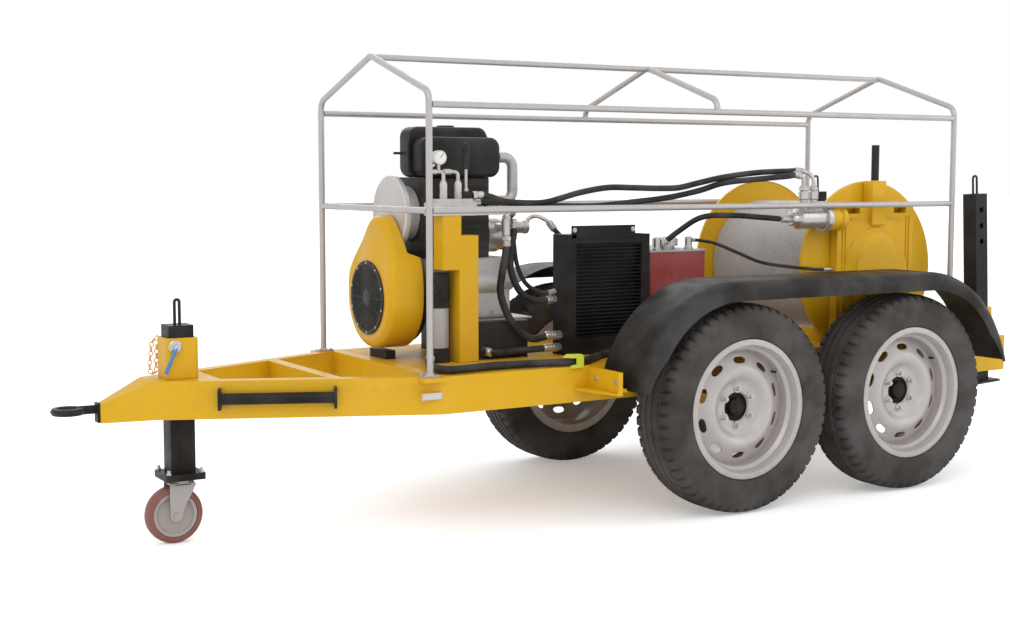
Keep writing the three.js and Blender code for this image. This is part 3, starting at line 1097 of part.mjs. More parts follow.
add('filler_cap', rod('z', capBottom, capBottom + FILLER_CAP_HEIGHT, FILLER_CAP_RADIUS, [FILLER_X, FILLER_Y, 0], 18), BLACK);

// Rope drum on a gearbox panel and a far bearing stand
const DRUM_SIDE_CLEARANCE = 2;
const FLANGE_THICKNESS = 12;
const CORE_RADIUS = 212;
const CORE_WALL = 10;
const DRUM_BORE = 32;
const DRUM_BOSS_RADIUS = 64;
const DRUM_BOSS_DEPTH = 30;
const DRUM_HOLES = 4;
const DRUM_HOLE_RADIUS = 38;
const DRUM_HOLE_RING = 135;
const DRUM_SEGMENTS = 20;
const PANEL_GAP = 3;
const PANEL_THICKNESS = 35;
const SHAFT_LENGTH = 26;
const SHAFT_SIDES = 16;

const DRUM_OUTER_Y = BEARER_INNER_Y - DRUM_SIDE_CLEARANCE;
const flangeInnerY = DRUM_OUTER_Y - FLANGE_THICKNESS;
function drum() {
  const bossY = DRUM_OUTER_Y - DRUM_BOSS_DEPTH;
  const coreInner = CORE_RADIUS - CORE_WALL;
  const body = turned('y', [
    [DRUM_BORE, -DRUM_OUTER_Y], [DRUM_FLANGE_RADIUS, -DRUM_OUTER_Y], [DRUM_FLANGE_RADIUS, -flangeInnerY],
    [CORE_RADIUS, -flangeInnerY], [CORE_RADIUS, flangeInnerY], [DRUM_FLANGE_RADIUS, flangeInnerY],
    [DRUM_FLANGE_RADIUS, DRUM_OUTER_Y], [DRUM_BORE, DRUM_OUTER_Y], [DRUM_BORE, bossY], [DRUM_BOSS_RADIUS, bossY],
    [DRUM_BOSS_RADIUS, flangeInnerY], [coreInner, flangeInnerY], [coreInner, -flangeInnerY],
    [DRUM_BOSS_RADIUS, -flangeInnerY], [DRUM_BOSS_RADIUS, -bossY], [DRUM_BORE, -bossY], [DRUM_BORE, -DRUM_OUTER_Y],
  ], [DRUM_X, 0, DRUM_Z], DRUM_SEGMENTS);
  const holes = [];
  for (let i = 0; i < DRUM_HOLES; i += 1) {
    const angle = (i / DRUM_HOLES) * 2 * Math.PI;
    const centre = [DRUM_X + DRUM_HOLE_RING * Math.sin(angle), 0, DRUM_Z + DRUM_HOLE_RING * Math.cos(angle)];
    holes.push(rod('y', -DRUM_OUTER_Y - CUT_OVERRUN, DRUM_OUTER_Y + CUT_OVERRUN, DRUM_HOLE_RADIUS, centre, 8));
  }
  return cut(body, ...holes);
}
add('drum', drum(), YELLOW);

// The rope lies on the drum as one layer of turns, its ends running straight off the core.
const ROPE_RADIUS = 13.2;
const ROPE_TURNS = 20;
const ROPE_STEPS = 10;
const ROPE_SIDES = 4;
const ROPE_END_GAP = 3;

const ropeCentreRadius = (CORE_RADIUS + GAP + ROPE_RADIUS) / Math.cos(Math.PI / ROPE_STEPS);
const ropeHalfWidth = flangeInnerY - ROPE_RADIUS - ROPE_END_GAP;
const ropePitch = (2 * ropeHalfWidth) / ROPE_TURNS;

function ropeLine() {
  const count = ROPE_TURNS * ROPE_STEPS;
  const rings = [];
  for (let i = 0; i <= count; i += 1) {
    const angle = (i / ROPE_STEPS) * 2 * Math.PI;
    const radial = new THREE.Vector3(Math.sin(angle), 0, Math.cos(angle));
    const centre = radial.clone().multiplyScalar(ropeCentreRadius);
    rings.push({ centre: centre.setY(-ropeHalfWidth + (i / ROPE_STEPS) * ropePitch), radial });
  }
  const leadAway = (ring, sense) => {
    const along = new THREE.Vector3(ring.radial.z, 0, -ring.radial.x);
    return { centre: ring.centre.clone().addScaledVector(along, sense * 2 * ROPE_RADIUS), radial: ring.radial };
  };
  return [leadAway(rings[0], -1), ...rings, leadAway(rings[count], 1)];
}

function ropeSolid(line) {
  const across = new THREE.Vector3(0, 1, 0);
  const corners = [];
  const faces = [];
  line.forEach(({ centre, radial }) => {
    for (let k = 0; k < ROPE_SIDES; k += 1) {
      const angle = (k / ROPE_SIDES) * 2 * Math.PI;
      const point = centre.clone().addScaledVector(radial, ROPE_RADIUS * Math.cos(angle));
      corners.push(...point.addScaledVector(across, ROPE_RADIUS * Math.sin(angle)).toArray());
    }
  });
  for (let i = 0; i < line.length - 1; i += 1) {
    for (let k = 0; k < ROPE_SIDES; k += 1) {
      const [a, b] = [i * ROPE_SIDES + k, i * ROPE_SIDES + ((k + 1) % ROPE_SIDES)];
      faces.push(a, b, b + ROPE_SIDES, a, b + ROPE_SIDES, a + ROPE_SIDES);
    }
  }
  const last = (line.length - 1) * ROPE_SIDES;
  for (let k = 1; k < ROPE_SIDES - 1; k += 1) {
    faces.push(0, k + 1, k, last, last + k, last + k + 1);
  }
  const geometry = new THREE.BufferGeometry();
  geometry.setAttribute('position', new THREE.Float32BufferAttribute(corners, 3));
  geometry.setIndex(faces);
  return solid(geometry.translate(DRUM_X, 0, DRUM_Z));
}

const rope = ropeLine();
const ropeLeastGap = ropePitch - 2 * ROPE_RADIUS;
console.log(`least gap between rope turns ${ropeLeastGap.toFixed(2)} mm`);
add('rope_winding', ropeSolid(rope), STEEL);

const HOUSING_HALF_LENGTH = 185;
const HOUSING_TOP = 975;
const HOUSING_SLOT_XS_SHARES = [[0.1, 0.29], [0.74, 0.9]];
const HOUSING_SLOT_HEIGHT = 19;
const HOUSING_SLOT_DROP = 4;
const COVER_RADIUS = 100;
const COVER_THICKNESS = 14;
const DISH_RADIUS = 150;
const DISH_THICKNESS = 6;
const RIB_WIDTH = 65;
const RIB_DEPTH = 50;
const RIB_TOP = 1067;
const STOP_BAR_RADIUS = 13.5;
const STOP_BAR_TOP = 1195;

const panelFarY = -DRUM_OUTER_Y - PANEL_GAP;
const panelNearY = panelFarY - PANEL_THICKNESS;
const housingX = DRUM_X - HOUSING_HALF_LENGTH;
const housingSlots = HOUSING_SLOT_XS_SHARES.map(([from, to]) => block(
  housingX + from * 2 * HOUSING_HALF_LENGTH, housingX + to * 2 * HOUSING_HALF_LENGTH,
  panelNearY - CUT_OVERRUN, panelFarY + CUT_OVERRUN,
  HOUSING_TOP - HOUSING_SLOT_DROP - HOUSING_SLOT_HEIGHT, HOUSING_TOP - HOUSING_SLOT_DROP,
));
const shaftFor = (side, from) => rod('y', ...[side * from, side * (DRUM_OUTER_Y - SHAFT_LENGTH)].sort((a, b) => a - b),
  DRUM_BORE - RUNNING_CLEARANCE, [DRUM_X, 0, DRUM_Z], SHAFT_SIDES);
add('gearbox_housing', join(
  cut(block(housingX, housingX + 2 * HOUSING_HALF_LENGTH, panelNearY, panelFarY, deckZ, HOUSING_TOP), ...housingSlots),
  rod('y', panelNearY - DISH_THICKNESS, panelNearY + DISH_THICKNESS, DISH_RADIUS, [DRUM_X, 0, DRUM_Z], 24),
  rod('y', panelNearY - COVER_THICKNESS, panelNearY + DISH_THICKNESS, COVER_RADIUS, [DRUM_X, 0, DRUM_Z], 20),
  shaftFor(-1, DRUM_OUTER_Y + PANEL_GAP + PANEL_THICKNESS / 2),
  block(DRUM_X - RIB_WIDTH / 2, DRUM_X + RIB_WIDTH / 2, panelFarY - RIB_DEPTH, panelFarY, HOUSING_TOP - RIB_WIDTH, RIB_TOP),
  rod('z', RIB_TOP - CUT_OVERRUN, STOP_BAR_TOP, STOP_BAR_RADIUS, [DRUM_X, panelFarY - RIB_DEPTH / 2, 0], 12),
), YELLOW);

const BEARING_STAND_HALF = 60;
const BEARING_STAND_RISE = 55;
add('drum_bearing_stand', join(
  block(DRUM_X - BEARING_STAND_HALF, DRUM_X + BEARING_STAND_HALF, -panelFarY, -panelNearY, deckZ, DRUM_Z + BEARING_STAND_RISE),
  shaftFor(1, DRUM_OUTER_Y + PANEL_GAP + PANEL_THICKNESS / 2),
), YELLOW);

// Hydraulic motor beside the gearbox, with two ports on its top
const MOTOR_X = 8;
const MOTOR_OFFSET = 12;             // from the panel's near face to the motor's centre line
const MOTOR_Z = 938;
const MOTOR_CAP_RADIUS = 24;
const MOTOR_CAP_LENGTH = 26;
const MOTOR_RADIUS = 36;
const MOTOR_BODY_LENGTH = 140;
const MOTOR_FLANGE_RADIUS = 46;
const MOTOR_PORT_RADIUS = 12;
const MOTOR_PORT_TOP = 1052;
const MOTOR_PORT_OFFSETS = [58, 104];
const MOTOR_Y = panelNearY - MOTOR_OFFSET;
const motorAt = [0, MOTOR_Y, MOTOR_Z];
add('drum_motor', join(
  rod('x', MOTOR_X, MOTOR_X + MOTOR_CAP_LENGTH + CUT_OVERRUN, MOTOR_CAP_RADIUS, motorAt, 12),
  rod('x', MOTOR_X + MOTOR_CAP_LENGTH, MOTOR_X + MOTOR_CAP_LENGTH + MOTOR_BODY_LENGTH, MOTOR_RADIUS, motorAt, 16),
  rod('x', MOTOR_X + MOTOR_BODY_LENGTH, housingX - GAP, MOTOR_FLANGE_RADIUS, motorAt, 16),
  ...MOTOR_PORT_OFFSETS.map((offset) => rod('z', MOTOR_Z, MOTOR_PORT_TOP, MOTOR_PORT_RADIUS,
    [MOTOR_X + offset, MOTOR_Y, 0], 10)),
), STEEL);

// Hoses: each route's points are placed by hand, from port to port
const HOSE_RADIUS = 10;
const THIN_HOSE_RADIUS = 6;
const COOLER_HOSE_RADIUS = 13;
const DECK_HOSE_RADIUS = 8;
const TOP_HOSE_A = [
  [-1120, -131, 1024], [-1090, -135, 1025], [-1061, -137, 1020], [-1013, -141, 1005], [-943, -148, 999],
  [-866, -156, 1000], [-809, -170, 1014], [-752, -190, 1031], [-655, -210, 1047], [-565, -230, 1046],
  [-473, -250, 1044], [-410, -268, 1046], [-351, -288, 1062], [-256, -308, 1088], [-104, -318, 1102],
  [30, -330, 1108], [92, -344, 1102], [111, -350, 1080], [112, -350, 1066], [112, -350, 1052.4],
];
const TOP_HOSE_B = [
  [-1109.3, -98, 1001], [-1088, -98, 1001], [-1007, -104, 1001], [-923, -114, 996], [-797, -132, 988],
  [-683, -162, 986], [-533, -200, 1000], [-422, -236, 1014], [-325, -276, 1037], [-256, -304, 1060],
  [-104, -338, 1076], [-6, -350, 1084], [42, -350, 1088], [63, -350, 1078], [66, -350, 1066], [66, -350, 1052.4],
];
const MOTOR_HOSE = [
  [-382.5, -131, 858], [-366, -131, 858], [-325, -156, 894], [-260, -200, 943], [-166, -250, 950],
  [-76, -310, 943], [-24, -350, 938], [7.6, -350, 938],
];
const CASE_DRAIN_HOSE = [
  [-230.6, -111, 862], [-218, -111, 862], [-181, -172, 853], [-120, -220, 822], [-46, -262, 787],
  [56, -306, 769], [120, -318, 762], [172, -320, 757], [238.6, -320, 757],
];
const COOLER_HOSE_LONG = [
  [-1008, -112, 900], [-1013, -118, 860], [-1022, -126, 820], [-1030, -134, 761], [-1004, -134, 663],
  [-928, -128, 574], [-860, -122, 560], [-782.3, -122, 560],
];
const COOLER_HOSE_SHORT = [
  [-1008, -112, 900], [-996, -108, 856], [-967, -102, 794], [-935, -94, 727], [-880, -90, 684],
  [-830, -90, 678], [-782.3, -90, 678],
];
const PUMP_HOSE = [
  [-944, -66.6, 916], [-944, -80, 916], [-940, -98, 904], [-930, -98, 860], [-910, -84, 800], [-868, -74, 744],
  [-826, -84, 718], [-800, -92, 712], [-782.4, -92, 712],
];
const BASE_HOSE = [
  [-1062, -100.6, 522], [-1062, -118, 522], [-1044, -130, 521], [-1000, -126, 519], [-930, -122, 519],
  [-853, -120, 520], [-782.3, -120, 520],
];
const DECK_HOSE = [
  [-1251.5, -92, 506], [-1285, -108, 503], [-1322, -180, 503], [-1322, -250, 503], [-1290, -298, 503],
  [-1240, -292, 503], [-1153, -244, 503], [-1074, -228, 503], [-966, -230, 503], [-869, -255, 503],
  [-836, -272, 503], [-729, -277, 503], [-620, -262, 503], [-520, -222, 503], [-430, -184, 503],
  [-404, -172, 503], [-396, -164, 503], [-396, -155.4, 503],
];
const MANIFOLD_RADIUS = 14;
const MANIFOLD_LENGTH = 78;

const manifoldAt = [-1008, -112, 0];
add('top_hose_a', hose(TOP_HOSE_A, HOSE_RADIUS), BLACK);
add('top_hose_b', hose(TOP_HOSE_B, HOSE_RADIUS), BLACK);
add('motor_hose', hose(MOTOR_HOSE, HOSE_RADIUS), BLACK);
add('case_drain_hose', hose(CASE_DRAIN_HOSE, THIN_HOSE_RADIUS), BLACK);
add('cooler_hose_pair', join(
  rod('z', valveBottom - GAP - MANIFOLD_LENGTH, valveBottom - GAP, MANIFOLD_RADIUS, manifoldAt, 10),
  hose(COOLER_HOSE_LONG, COOLER_HOSE_RADIUS),
  hose(COOLER_HOSE_SHORT, COOLER_HOSE_RADIUS),
), BLACK);
add('pump_hose', hose(PUMP_HOSE, HOSE_RADIUS), BLACK);
add('base_hose', hose(BASE_HOSE, HOSE_RADIUS), BLACK);
add('deck_hose', hose(DECK_HOSE, DECK_HOSE_RADIUS), BLACK);

machine.position.x = -(TOW_TIP_X + REAR_END_X) / 2;
export default machine;
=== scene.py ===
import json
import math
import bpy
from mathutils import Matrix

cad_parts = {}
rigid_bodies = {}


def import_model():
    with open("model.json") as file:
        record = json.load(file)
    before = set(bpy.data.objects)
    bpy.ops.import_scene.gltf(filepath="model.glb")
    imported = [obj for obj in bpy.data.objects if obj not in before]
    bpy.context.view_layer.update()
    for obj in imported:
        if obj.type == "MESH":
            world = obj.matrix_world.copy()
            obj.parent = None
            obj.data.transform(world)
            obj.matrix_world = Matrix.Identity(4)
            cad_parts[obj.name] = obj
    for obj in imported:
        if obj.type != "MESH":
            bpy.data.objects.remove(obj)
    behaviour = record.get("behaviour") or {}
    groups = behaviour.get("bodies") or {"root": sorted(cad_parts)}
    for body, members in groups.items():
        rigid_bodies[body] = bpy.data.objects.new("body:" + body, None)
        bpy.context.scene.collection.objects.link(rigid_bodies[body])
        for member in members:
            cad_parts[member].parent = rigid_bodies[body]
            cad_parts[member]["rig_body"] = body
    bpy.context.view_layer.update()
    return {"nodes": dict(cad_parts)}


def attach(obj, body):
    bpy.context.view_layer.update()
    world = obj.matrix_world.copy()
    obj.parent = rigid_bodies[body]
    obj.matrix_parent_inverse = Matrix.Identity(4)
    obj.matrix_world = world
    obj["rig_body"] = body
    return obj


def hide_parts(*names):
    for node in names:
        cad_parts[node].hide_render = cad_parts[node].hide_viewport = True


bl_info = {
    "name": "Cable pulling machine",
    "version": (1, 0, 0),
    "blender": (4, 5, 0),
    "location": "View3D > Sidebar > Cable puller",
    "description": "Engine-driven hydraulic cable puller on a two-axle trailer",
    "category": "Object",
}

import bmesh
import bpy
import numpy as np
from mathutils import Matrix, Vector

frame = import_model()

# Drawing coordinates are millimetres with X = 0 midway between the axles.
AXLE_MIDDLE = np.array([0.725, 0.0, 0.0])
MM = 0.001
NEAR, FAR = -1, 1
TAU = 2 * math.pi


# Shells: a shell is (points, faces), and a piece is made of one or more shells.

def grid_faces(rows, cols, close_rows=False, close_cols=False):
    """Four-sided faces between neighbouring points of a grid, wrapped round where it closes."""
    r, c = np.meshgrid(
        np.arange(rows if close_rows else rows - 1),
        np.arange(cols if close_cols else cols - 1),
        indexing="ij",
    )
    r2, c2 = (r + 1) % rows, (c + 1) % cols
    corners = [r * cols + c, r * cols + c2, r2 * cols + c2, r2 * cols + c]
    return np.stack(corners, axis=-1).reshape(-1, 4)


def enclosed(points, faces):
    """Six times the signed volume: the sum over fans of a . (b x c)."""
    total = 0.0
    arrays = {}
    for face in faces:
        arrays.setdefault(len(face), []).append(face)
    for count, group in arrays.items():
        corner = points[np.array(group)]
        for k in range(1, count - 1):
            cross = np.cross(corner[:, k], corner[:, k + 1])
            total += float(np.einsum("ij,ij->", corner[:, 0], cross))
    return total


def outward(points, faces):
    """The same shell with its faces turned so that it encloses a positive volume."""
    faces = [list(face) for face in faces]
    middle = points.mean(axis=0)
    if enclosed(points - middle, faces) < 0:
        faces = [face[::-1] for face in faces]
    return points, faces


def rings(points, closed=False, capped=True):
    """A skin over rings of points (rows of a rows x cols x 3 grid), each ring closed on itself."""
    rows, cols = points.shape[:2]
    faces = grid_faces(rows, cols, close_rows=closed, close_cols=True).tolist()
    if capped and not closed:
        faces += [list(range(cols)), list(range((rows - 1) * cols, rows * cols))[::-1]]
    return outward(points.reshape(-1, 3), faces)


def turned(profile, axis, centre, steps=48):
    """Each profile point (radius, place along the axis) is carried round a full circle."""
    profile = np.asarray(profile, float)
    angle = np.arange(steps) * TAU / steps
    radius, along = profile[:, 0][:, None], profile[:, 1][:, None]
    ring = np.stack([radius * np.cos(angle), radius * np.sin(angle), along + 0 * angle], axis=-1)
    order = {"x": [2, 0, 1], "y": [1, 2, 0], "z": [0, 1, 2]}[axis]
    points = ring[..., order] + np.asarray(centre, float)
    loop = np.allclose(profile[0], profile[-1])
    if loop:
        points = points[:-1]
    return rings(points, closed=loop)


def spindle(profile, axis, centre, steps=48):
    """A profile turned to a solid: its two ends are closed by flat discs."""
    ends = [(0.5, profile[0][1]), *profile, (0.5, profile[-1][1])]
    return turned(ends, axis, centre, steps)


def around(count, radius, phase=0.5):
    """Evenly spaced (across, up) points on a circle, from a phase of one step onwards."""
    angles = [(k + phase) * TAU / count for k in range(count)]
    return [(radius * math.cos(a), radius * math.sin(a)) for a in angles]


def rod(axis, start, end, radius, centre, steps=24, chamfer=1.0):
    """A round bar with chamfered ends; the centre's value on its own axis is not used."""
    centre = np.array(centre, float)
    centre["xyz".index(axis)] = 0
    c = min(chamfer, radius / 3, abs(end - start) / 3) * (1 if end > start else -1)
    r = radius
    profile = [(r - abs(c), start), (r, start + c), (r, end - c), (r - abs(c), end)]
    return turned(profile, axis, centre, steps)


def path_frames(path, closed=False):
    """Tangents, and normals carried along the path without twist."""
    path = np.asarray(path, float)
    if closed:
        tangent = np.roll(path, -1, axis=0) - np.roll(path, 1, axis=0)
    else:
        tangent = np.gradient(path, axis=0)
    tangent /= np.linalg.norm(tangent, axis=1)[:, None]
    axis = np.eye(3)[np.argmin(np.abs(tangent[0]))]
    normal = np.cross(tangent[0], axis)
    normals = [normal / np.linalg.norm(normal)]
    for t in tangent[1:]:
        carried = normals[-1] - t * np.dot(normals[-1], t)
        normals.append(carried / np.linalg.norm(carried))
    return path, tangent, np.array(normals)


def tube(path, radius, sides=16, closed=False):
    """A round section of the given radius (one value or one per point) carried along a path."""
    path, tangent, normal = path_frames(path, closed)
    side = np.cross(tangent, normal)
    angle = np.arange(sides) * TAU / sides
    radius = np.broadcast_to(np.asarray(radius, float), len(path))[:, None, None]
    circle = np.cos(angle)[None, :, None] * normal[:, None] + np.sin(angle)[None, :, None] * side[:, None]
    return rings(path[:, None] + radius * circle, closed=closed)


def bent(corners, bend, steps=8):
    """A path of straight runs whose corners are arcs of the bend radius."""
    corners = [np.asarray(c, float) for c in corners]
    path = [corners[0]]
    for before, here, after in zip(corners, corners[1:], corners[2:]):
        into = (here - before) / np.linalg.norm(here - before)
        out = (after - here) / np.linalg.norm(after - here)
        turn = math.acos(np.clip(into @ out, -1, 1))
        inward = out - into * (into @ out)
        inward /= np.linalg.norm(inward)
        start = here - into * bend * math.tan(turn / 2)
        for k in range(steps + 1):
            a = turn * k / steps
            path.append(start + into * bend * math.sin(a) + inward * bend * (1 - math.cos(a)))
    return np.array(path + [corners[-1]])


def smooth_path(route, spacing):
    """A centripetal Catmull-Rom curve through the route, with points about a spacing apart."""
    p = np.asarray(route, float)
    p = np.vstack([2 * p[0] - p[1], p, 2 * p[-1] - p[-2]])
    knots = np.concatenate([[0], np.cumsum(np.linalg.norm(np.diff(p, axis=0), axis=1) ** 0.5)])
    out = []
    for i in range(1, len(p) - 2):
        t0, t1, t2, t3 = knots[i - 1 : i + 3]
        count = max(2, int(np.linalg.norm(p[i + 1] - p[i]) / spacing))
        t = np.linspace(t1, t2, count, endpoint=False)[:, None]
        a1 = (t1 - t) / (t1 - t0) * p[i - 1] + (t - t0) / (t1 - t0) * p[i]
        a2 = (t2 - t) / (t2 - t1) * p[i] + (t - t1) / (t2 - t1) * p[i + 1]
        a3 = (t3 - t) / (t3 - t2) * p[i + 1] + (t - t2) / (t3 - t2) * p[i + 2]
        b1 = (t2 - t) / (t2 - t0) * a1 + (t - t0) / (t2 - t0) * a2
        b2 = (t3 - t) / (t3 - t1) * a2 + (t - t1) / (t3 - t1) * a3
        out.append((t2 - t) / (t2 - t1) * b1 + (t - t1) / (t2 - t1) * b2)
    return np.vstack(out + [p[-2][None]])


def prism(axis, outline, start, end):
    """An outline carried straight along an axis: (y, z) along x, (x, z) along y, (x, y) along z."""
    outline = np.asarray(outline, float)
    column = "xyz".index(axis)
    points = np.insert(np.broadcast_to(outline, (2,) + outline.shape), column, 0.0, axis=2)
    points[0, :, column], points[1, :, column] = start, end
    return rings(points)


def block(x0, x1, y0, y1, z0, z1):
    return prism("z", [(x0, y0), (x1, y0), (x1, y1), (x0, y1)], z0, z1)


def rounded_outline(u0, u1, v0, v1, radius, steps=5):
    """A rectangle with quarter circles at its corners."""
    centres = [
        (u1 - radius, v1 - radius), (u0 + radius, v1 - radius), (u0 + radius, v0 + radius),
        (u1 - radius, v0 + radius),
    ]
    points = []
    for quarter, (u, v) in enumerate(centres):
        for k in range(steps + 1):
            a = (quarter + k / steps) * math.pi / 2
            points.append((u + radius * math.cos(a), v + radius * math.sin(a)))
    return points


def hexagon(radius, centre=(0, 0)):
    angle = np.arange(6) * TAU / 6
    return np.stack([centre[0] + radius * np.cos(angle), centre[1] + radius * np.sin(angle)], axis=1)


def turned_about(shell, turn, about):
    """A shell turned by a rotation about a point."""
    points, faces = shell
    about = np.asarray(about, float)
    return (points - about) @ np.array(turn.to_3x3()).T + about, faces


def bolts(points, axis, sense, radius, height=None):
    """Hexagon heads on washers, standing on a face at the points."""
    height = height or radius * 0.8
    i = "xyz".index(axis)
    shells = []
    for point in points:
        start, lift = point[i], point[i] + sense * height * 0.25
        across = [v for k, v in enumerate(point) if k != i]
        shells.append(rod(axis, start, lift, radius * 1.5, point, steps=16, chamfer=0.3))
        shells.append(prism(axis, hexagon(radius, across), lift, start + sense * height))
    return shells


def make_piece(name, *parts, bevel=0.0, flat=35, shift=AXLE_MIDDLE, slot=None, replaces=None):
    """One object from parts in drawing millimetres, each a finish and its shells.

    It stands for a CAD node if one is named, and then has that node's body. The slot argument is not used.
    """
    points, faces, index = [], [], []
    first, finishes = 0, list(dict.fromkeys(finish for finish, _ in parts))
    for finish, shells in parts:
        for p, f in shells:
            points.append(p)
            faces += [[v + first for v in face] for face in f]
            index += [finishes.index(finish)] * len(f)
            first += len(p)
    mesh = bpy.data.meshes.new(name)
    mesh.from_pydata((np.vstack(points) * MM + shift).tolist(), [], faces)
    for finish in finishes:
        mesh.materials.append(PAINT[finish])
    mesh.polygons.foreach_set("material_index", index)
    body = riding(replaces) if replaces else "trailer"
    return placed_piece(name, mesh, body, replaces, flat, bevel)


def new_object(name, data):
    """An object of some data, linked to the scene."""
    obj = bpy.data.objects.new(name, data)
    bpy.context.scene.collection.objects.link(obj)
    return obj


def placed_piece(name, mesh, body, replaces, flat=35, bevel=0.0, segments=2):
    """The object of a mesh: shading, rounded edges, its body and the node it stands for."""
    mesh.shade_smooth()
    mesh.set_sharp_from_angle(angle=math.radians(flat))
    mesh.update()
    obj = new_object(name, mesh)
    if bevel:
        add_bevel(obj, bevel, segments)
    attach(obj, body)
    if replaces:
        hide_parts(replaces)
    return obj


def add_bevel(obj, width, segments):
    bevel = obj.modifiers.new("Rounded edges", "BEVEL")
    bevel.width = width * MM
    bevel.segments = segments
    bevel.limit_method = "ANGLE"
    bevel.angle_limit = math.radians(40)
    bevel.harden_normals = True
    bevel.use_clamp_overlap = True


def softened(node, width, finish, segments=2, space=None):
    """A merged copy of a CAD node with its edges rounded by a width in millimetres."""
    mesh = frame["nodes"][node].data.copy()
    form = bmesh.new()
    form.from_mesh(mesh)
    bmesh.ops.remove_doubles(form, verts=form.verts, dist=2e-5)
    bmesh.ops.dissolve_limit(form, angle_limit=math.radians(1), verts=form.verts, edges=form.edges)
    if space:
        emptied(form, space)
    form.to_mesh(mesh)
    form.free()
    mesh.materials.clear()
    mesh.materials.append(PAINT[finish])
    mesh.polygons.foreach_set("material_index", [0] * len(mesh.polygons))
    return placed_piece(node + "_finished", mesh, riding(node), node, 35, width, segments)


def emptied(form, space):
    """Deletes what lies between X, distance from the middle plane and Z, and closes what that opens."""
    (x0, x1), (y0, y1), (z0, z1) = space
    places = [(vertex, (np.array(vertex.co) - AXLE_MIDDLE) / MM) for vertex in form.verts]
    inside = [v for v, (x, y, z) in places if x0 < x < x1 and y0 < abs(y) < y1 and z0 < z < z1]
    bmesh.ops.delete(form, geom=inside, context="VERTS")
    bmesh.ops.holes_fill(form, edges=[edge for edge in form.edges if edge.is_boundary], sides=0)


def riding(node):
    """The body that the record gives a CAD node."""
    return frame["nodes"][node]["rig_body"]


# Materials

GREY = (0.5, 0.5, 0.5, 1)
# How far the roughness of a finish strays to either side.
ROUGH_SPREAD = 0.08


def tone(code, alpha=1.0):
    """Linear colour of a hexadecimal display colour."""
    values = [int(code[i : i + 2], 16) / 255 for i in (0, 2, 4)]
    return tuple(v / 12.92 if v <= 0.04045 else ((v + 0.055) / 1.055) ** 2.4 for v in values) + (alpha,)


def fill(tree, made, inputs):
    """Each input of a node gets its value, or a link if it is given a socket."""
    for key, value in inputs.items():
        if isinstance(value, bpy.types.NodeSocket):
            tree.links.new(value, made.inputs[key])
        else:
            made.inputs[key].default_value = value
    return made


def node(tree, kind, inputs=None, **settings):
    """A new node with its settings and its inputs."""
    made = tree.nodes.new(kind)
    for key, value in settings.items():
        setattr(made, key, value)
    return fill(tree, made, inputs or {})


def effect(name, inputs, outputs):
    """An empty node group with named sockets and its two end nodes; a tuple makes an input a colour."""
    tree = bpy.data.node_groups.new(name, "ShaderNodeTree")
    for label, default in inputs.items():
        kind = "NodeSocketColor" if isinstance(default, tuple) else "NodeSocketFloat"
        tree.interface.new_socket(label, in_out="INPUT", socket_type=kind).default_value = default
    for label in outputs:
        kind = "NodeSocketColor" if label == "Color" else "NodeSocketFloat"
        tree.interface.new_socket(label, in_out="OUTPUT", socket_type=kind)
    return tree, tree.nodes.new("NodeGroupInput"), tree.nodes.new("NodeGroupOutput")


def noise(tree, scale, detail=4.0, roughness=0.55):
    point = node(tree, "ShaderNodeTexCoord").outputs["Object"]
    inputs = {"Vector": point, "Scale": scale, "Detail": detail, "Roughness": roughness}
    return node(tree, "ShaderNodeTexNoise", inputs).outputs["Fac"]


def remap(tree, value, low, high, new_low=0.0, new_high=1.0):
    inputs = {"Value": value, "From Min": low, "From Max": high, "To Min": new_low, "To Max": new_high}
    return node(tree, "ShaderNodeMapRange", inputs, interpolation_type="SMOOTHSTEP").outputs["Result"]


def times(tree, a, b, operation="MULTIPLY"):
    return node(tree, "ShaderNodeMath", {0: a, 1: b}, operation=operation).outputs[0]


def mixed(tree, factor, a, b, blend="MIX"):
    inputs = {0: factor, 6: a, 7: b}
    return node(tree, "ShaderNodeMix", inputs, data_type="RGBA", blend_type=blend).outputs[2]


def variation_effect():
    """Slow light and dark patches of a colour, from noise on the object's coordinates."""
    inputs = {"Color": GREY, "Amount": 0.1, "Scale": 6.0}
    tree, start, end = effect("Tone variation", inputs, ["Color"])
    color, amount, scale = start.outputs["Color"], start.outputs["Amount"], start.outputs["Scale"]
    patch = remap(tree, noise(tree, scale), 0.3, 0.7)
    darker = mixed(tree, amount, color, (0, 0, 0, 1))
    lighter = mixed(tree, times(tree, amount, 0.5), color, (1, 1, 1, 1))
    fill(tree, end, {"Color": mixed(tree, patch, darker, lighter)})
    return tree


def covering_effect(name, second, default, amount, where):
    """A second colour over the first where both of two shares are high; its mask is given out too."""
    tree, start, end = effect(name, {"Color": GREY, second: default, "Amount": amount}, ["Color", "Mask"])
    mask = times(tree, times(tree, *where(tree)), start.outputs["Amount"])
    fill(tree, end, {"Color": mixed(tree, mask, start.outputs["Color"], start.outputs[second]), "Mask": mask})
    return tree


def worn_edges(tree):
    """Sharp edges, and the noise that breaks them up."""
    point = node(tree, "ShaderNodeNewGeometry").outputs["Pointiness"]
    return remap(tree, point, 0.52, 0.6), remap(tree, noise(tree, 38.0, 6.0), 0.48, 0.62)


def dusty_faces(tree):
    """Faces that look up, and the noise that makes the dust on them uneven."""
    normal = node(tree, "ShaderNodeNewGeometry").outputs["Normal"]
    up = node(tree, "ShaderNodeSeparateXYZ", {0: normal}).outputs["Z"]
    return remap(tree, up, -0.1, 0.9, 0.25, 1.0), remap(tree, noise(tree, 9.0, 8.0, 0.65), 0.35, 0.75)


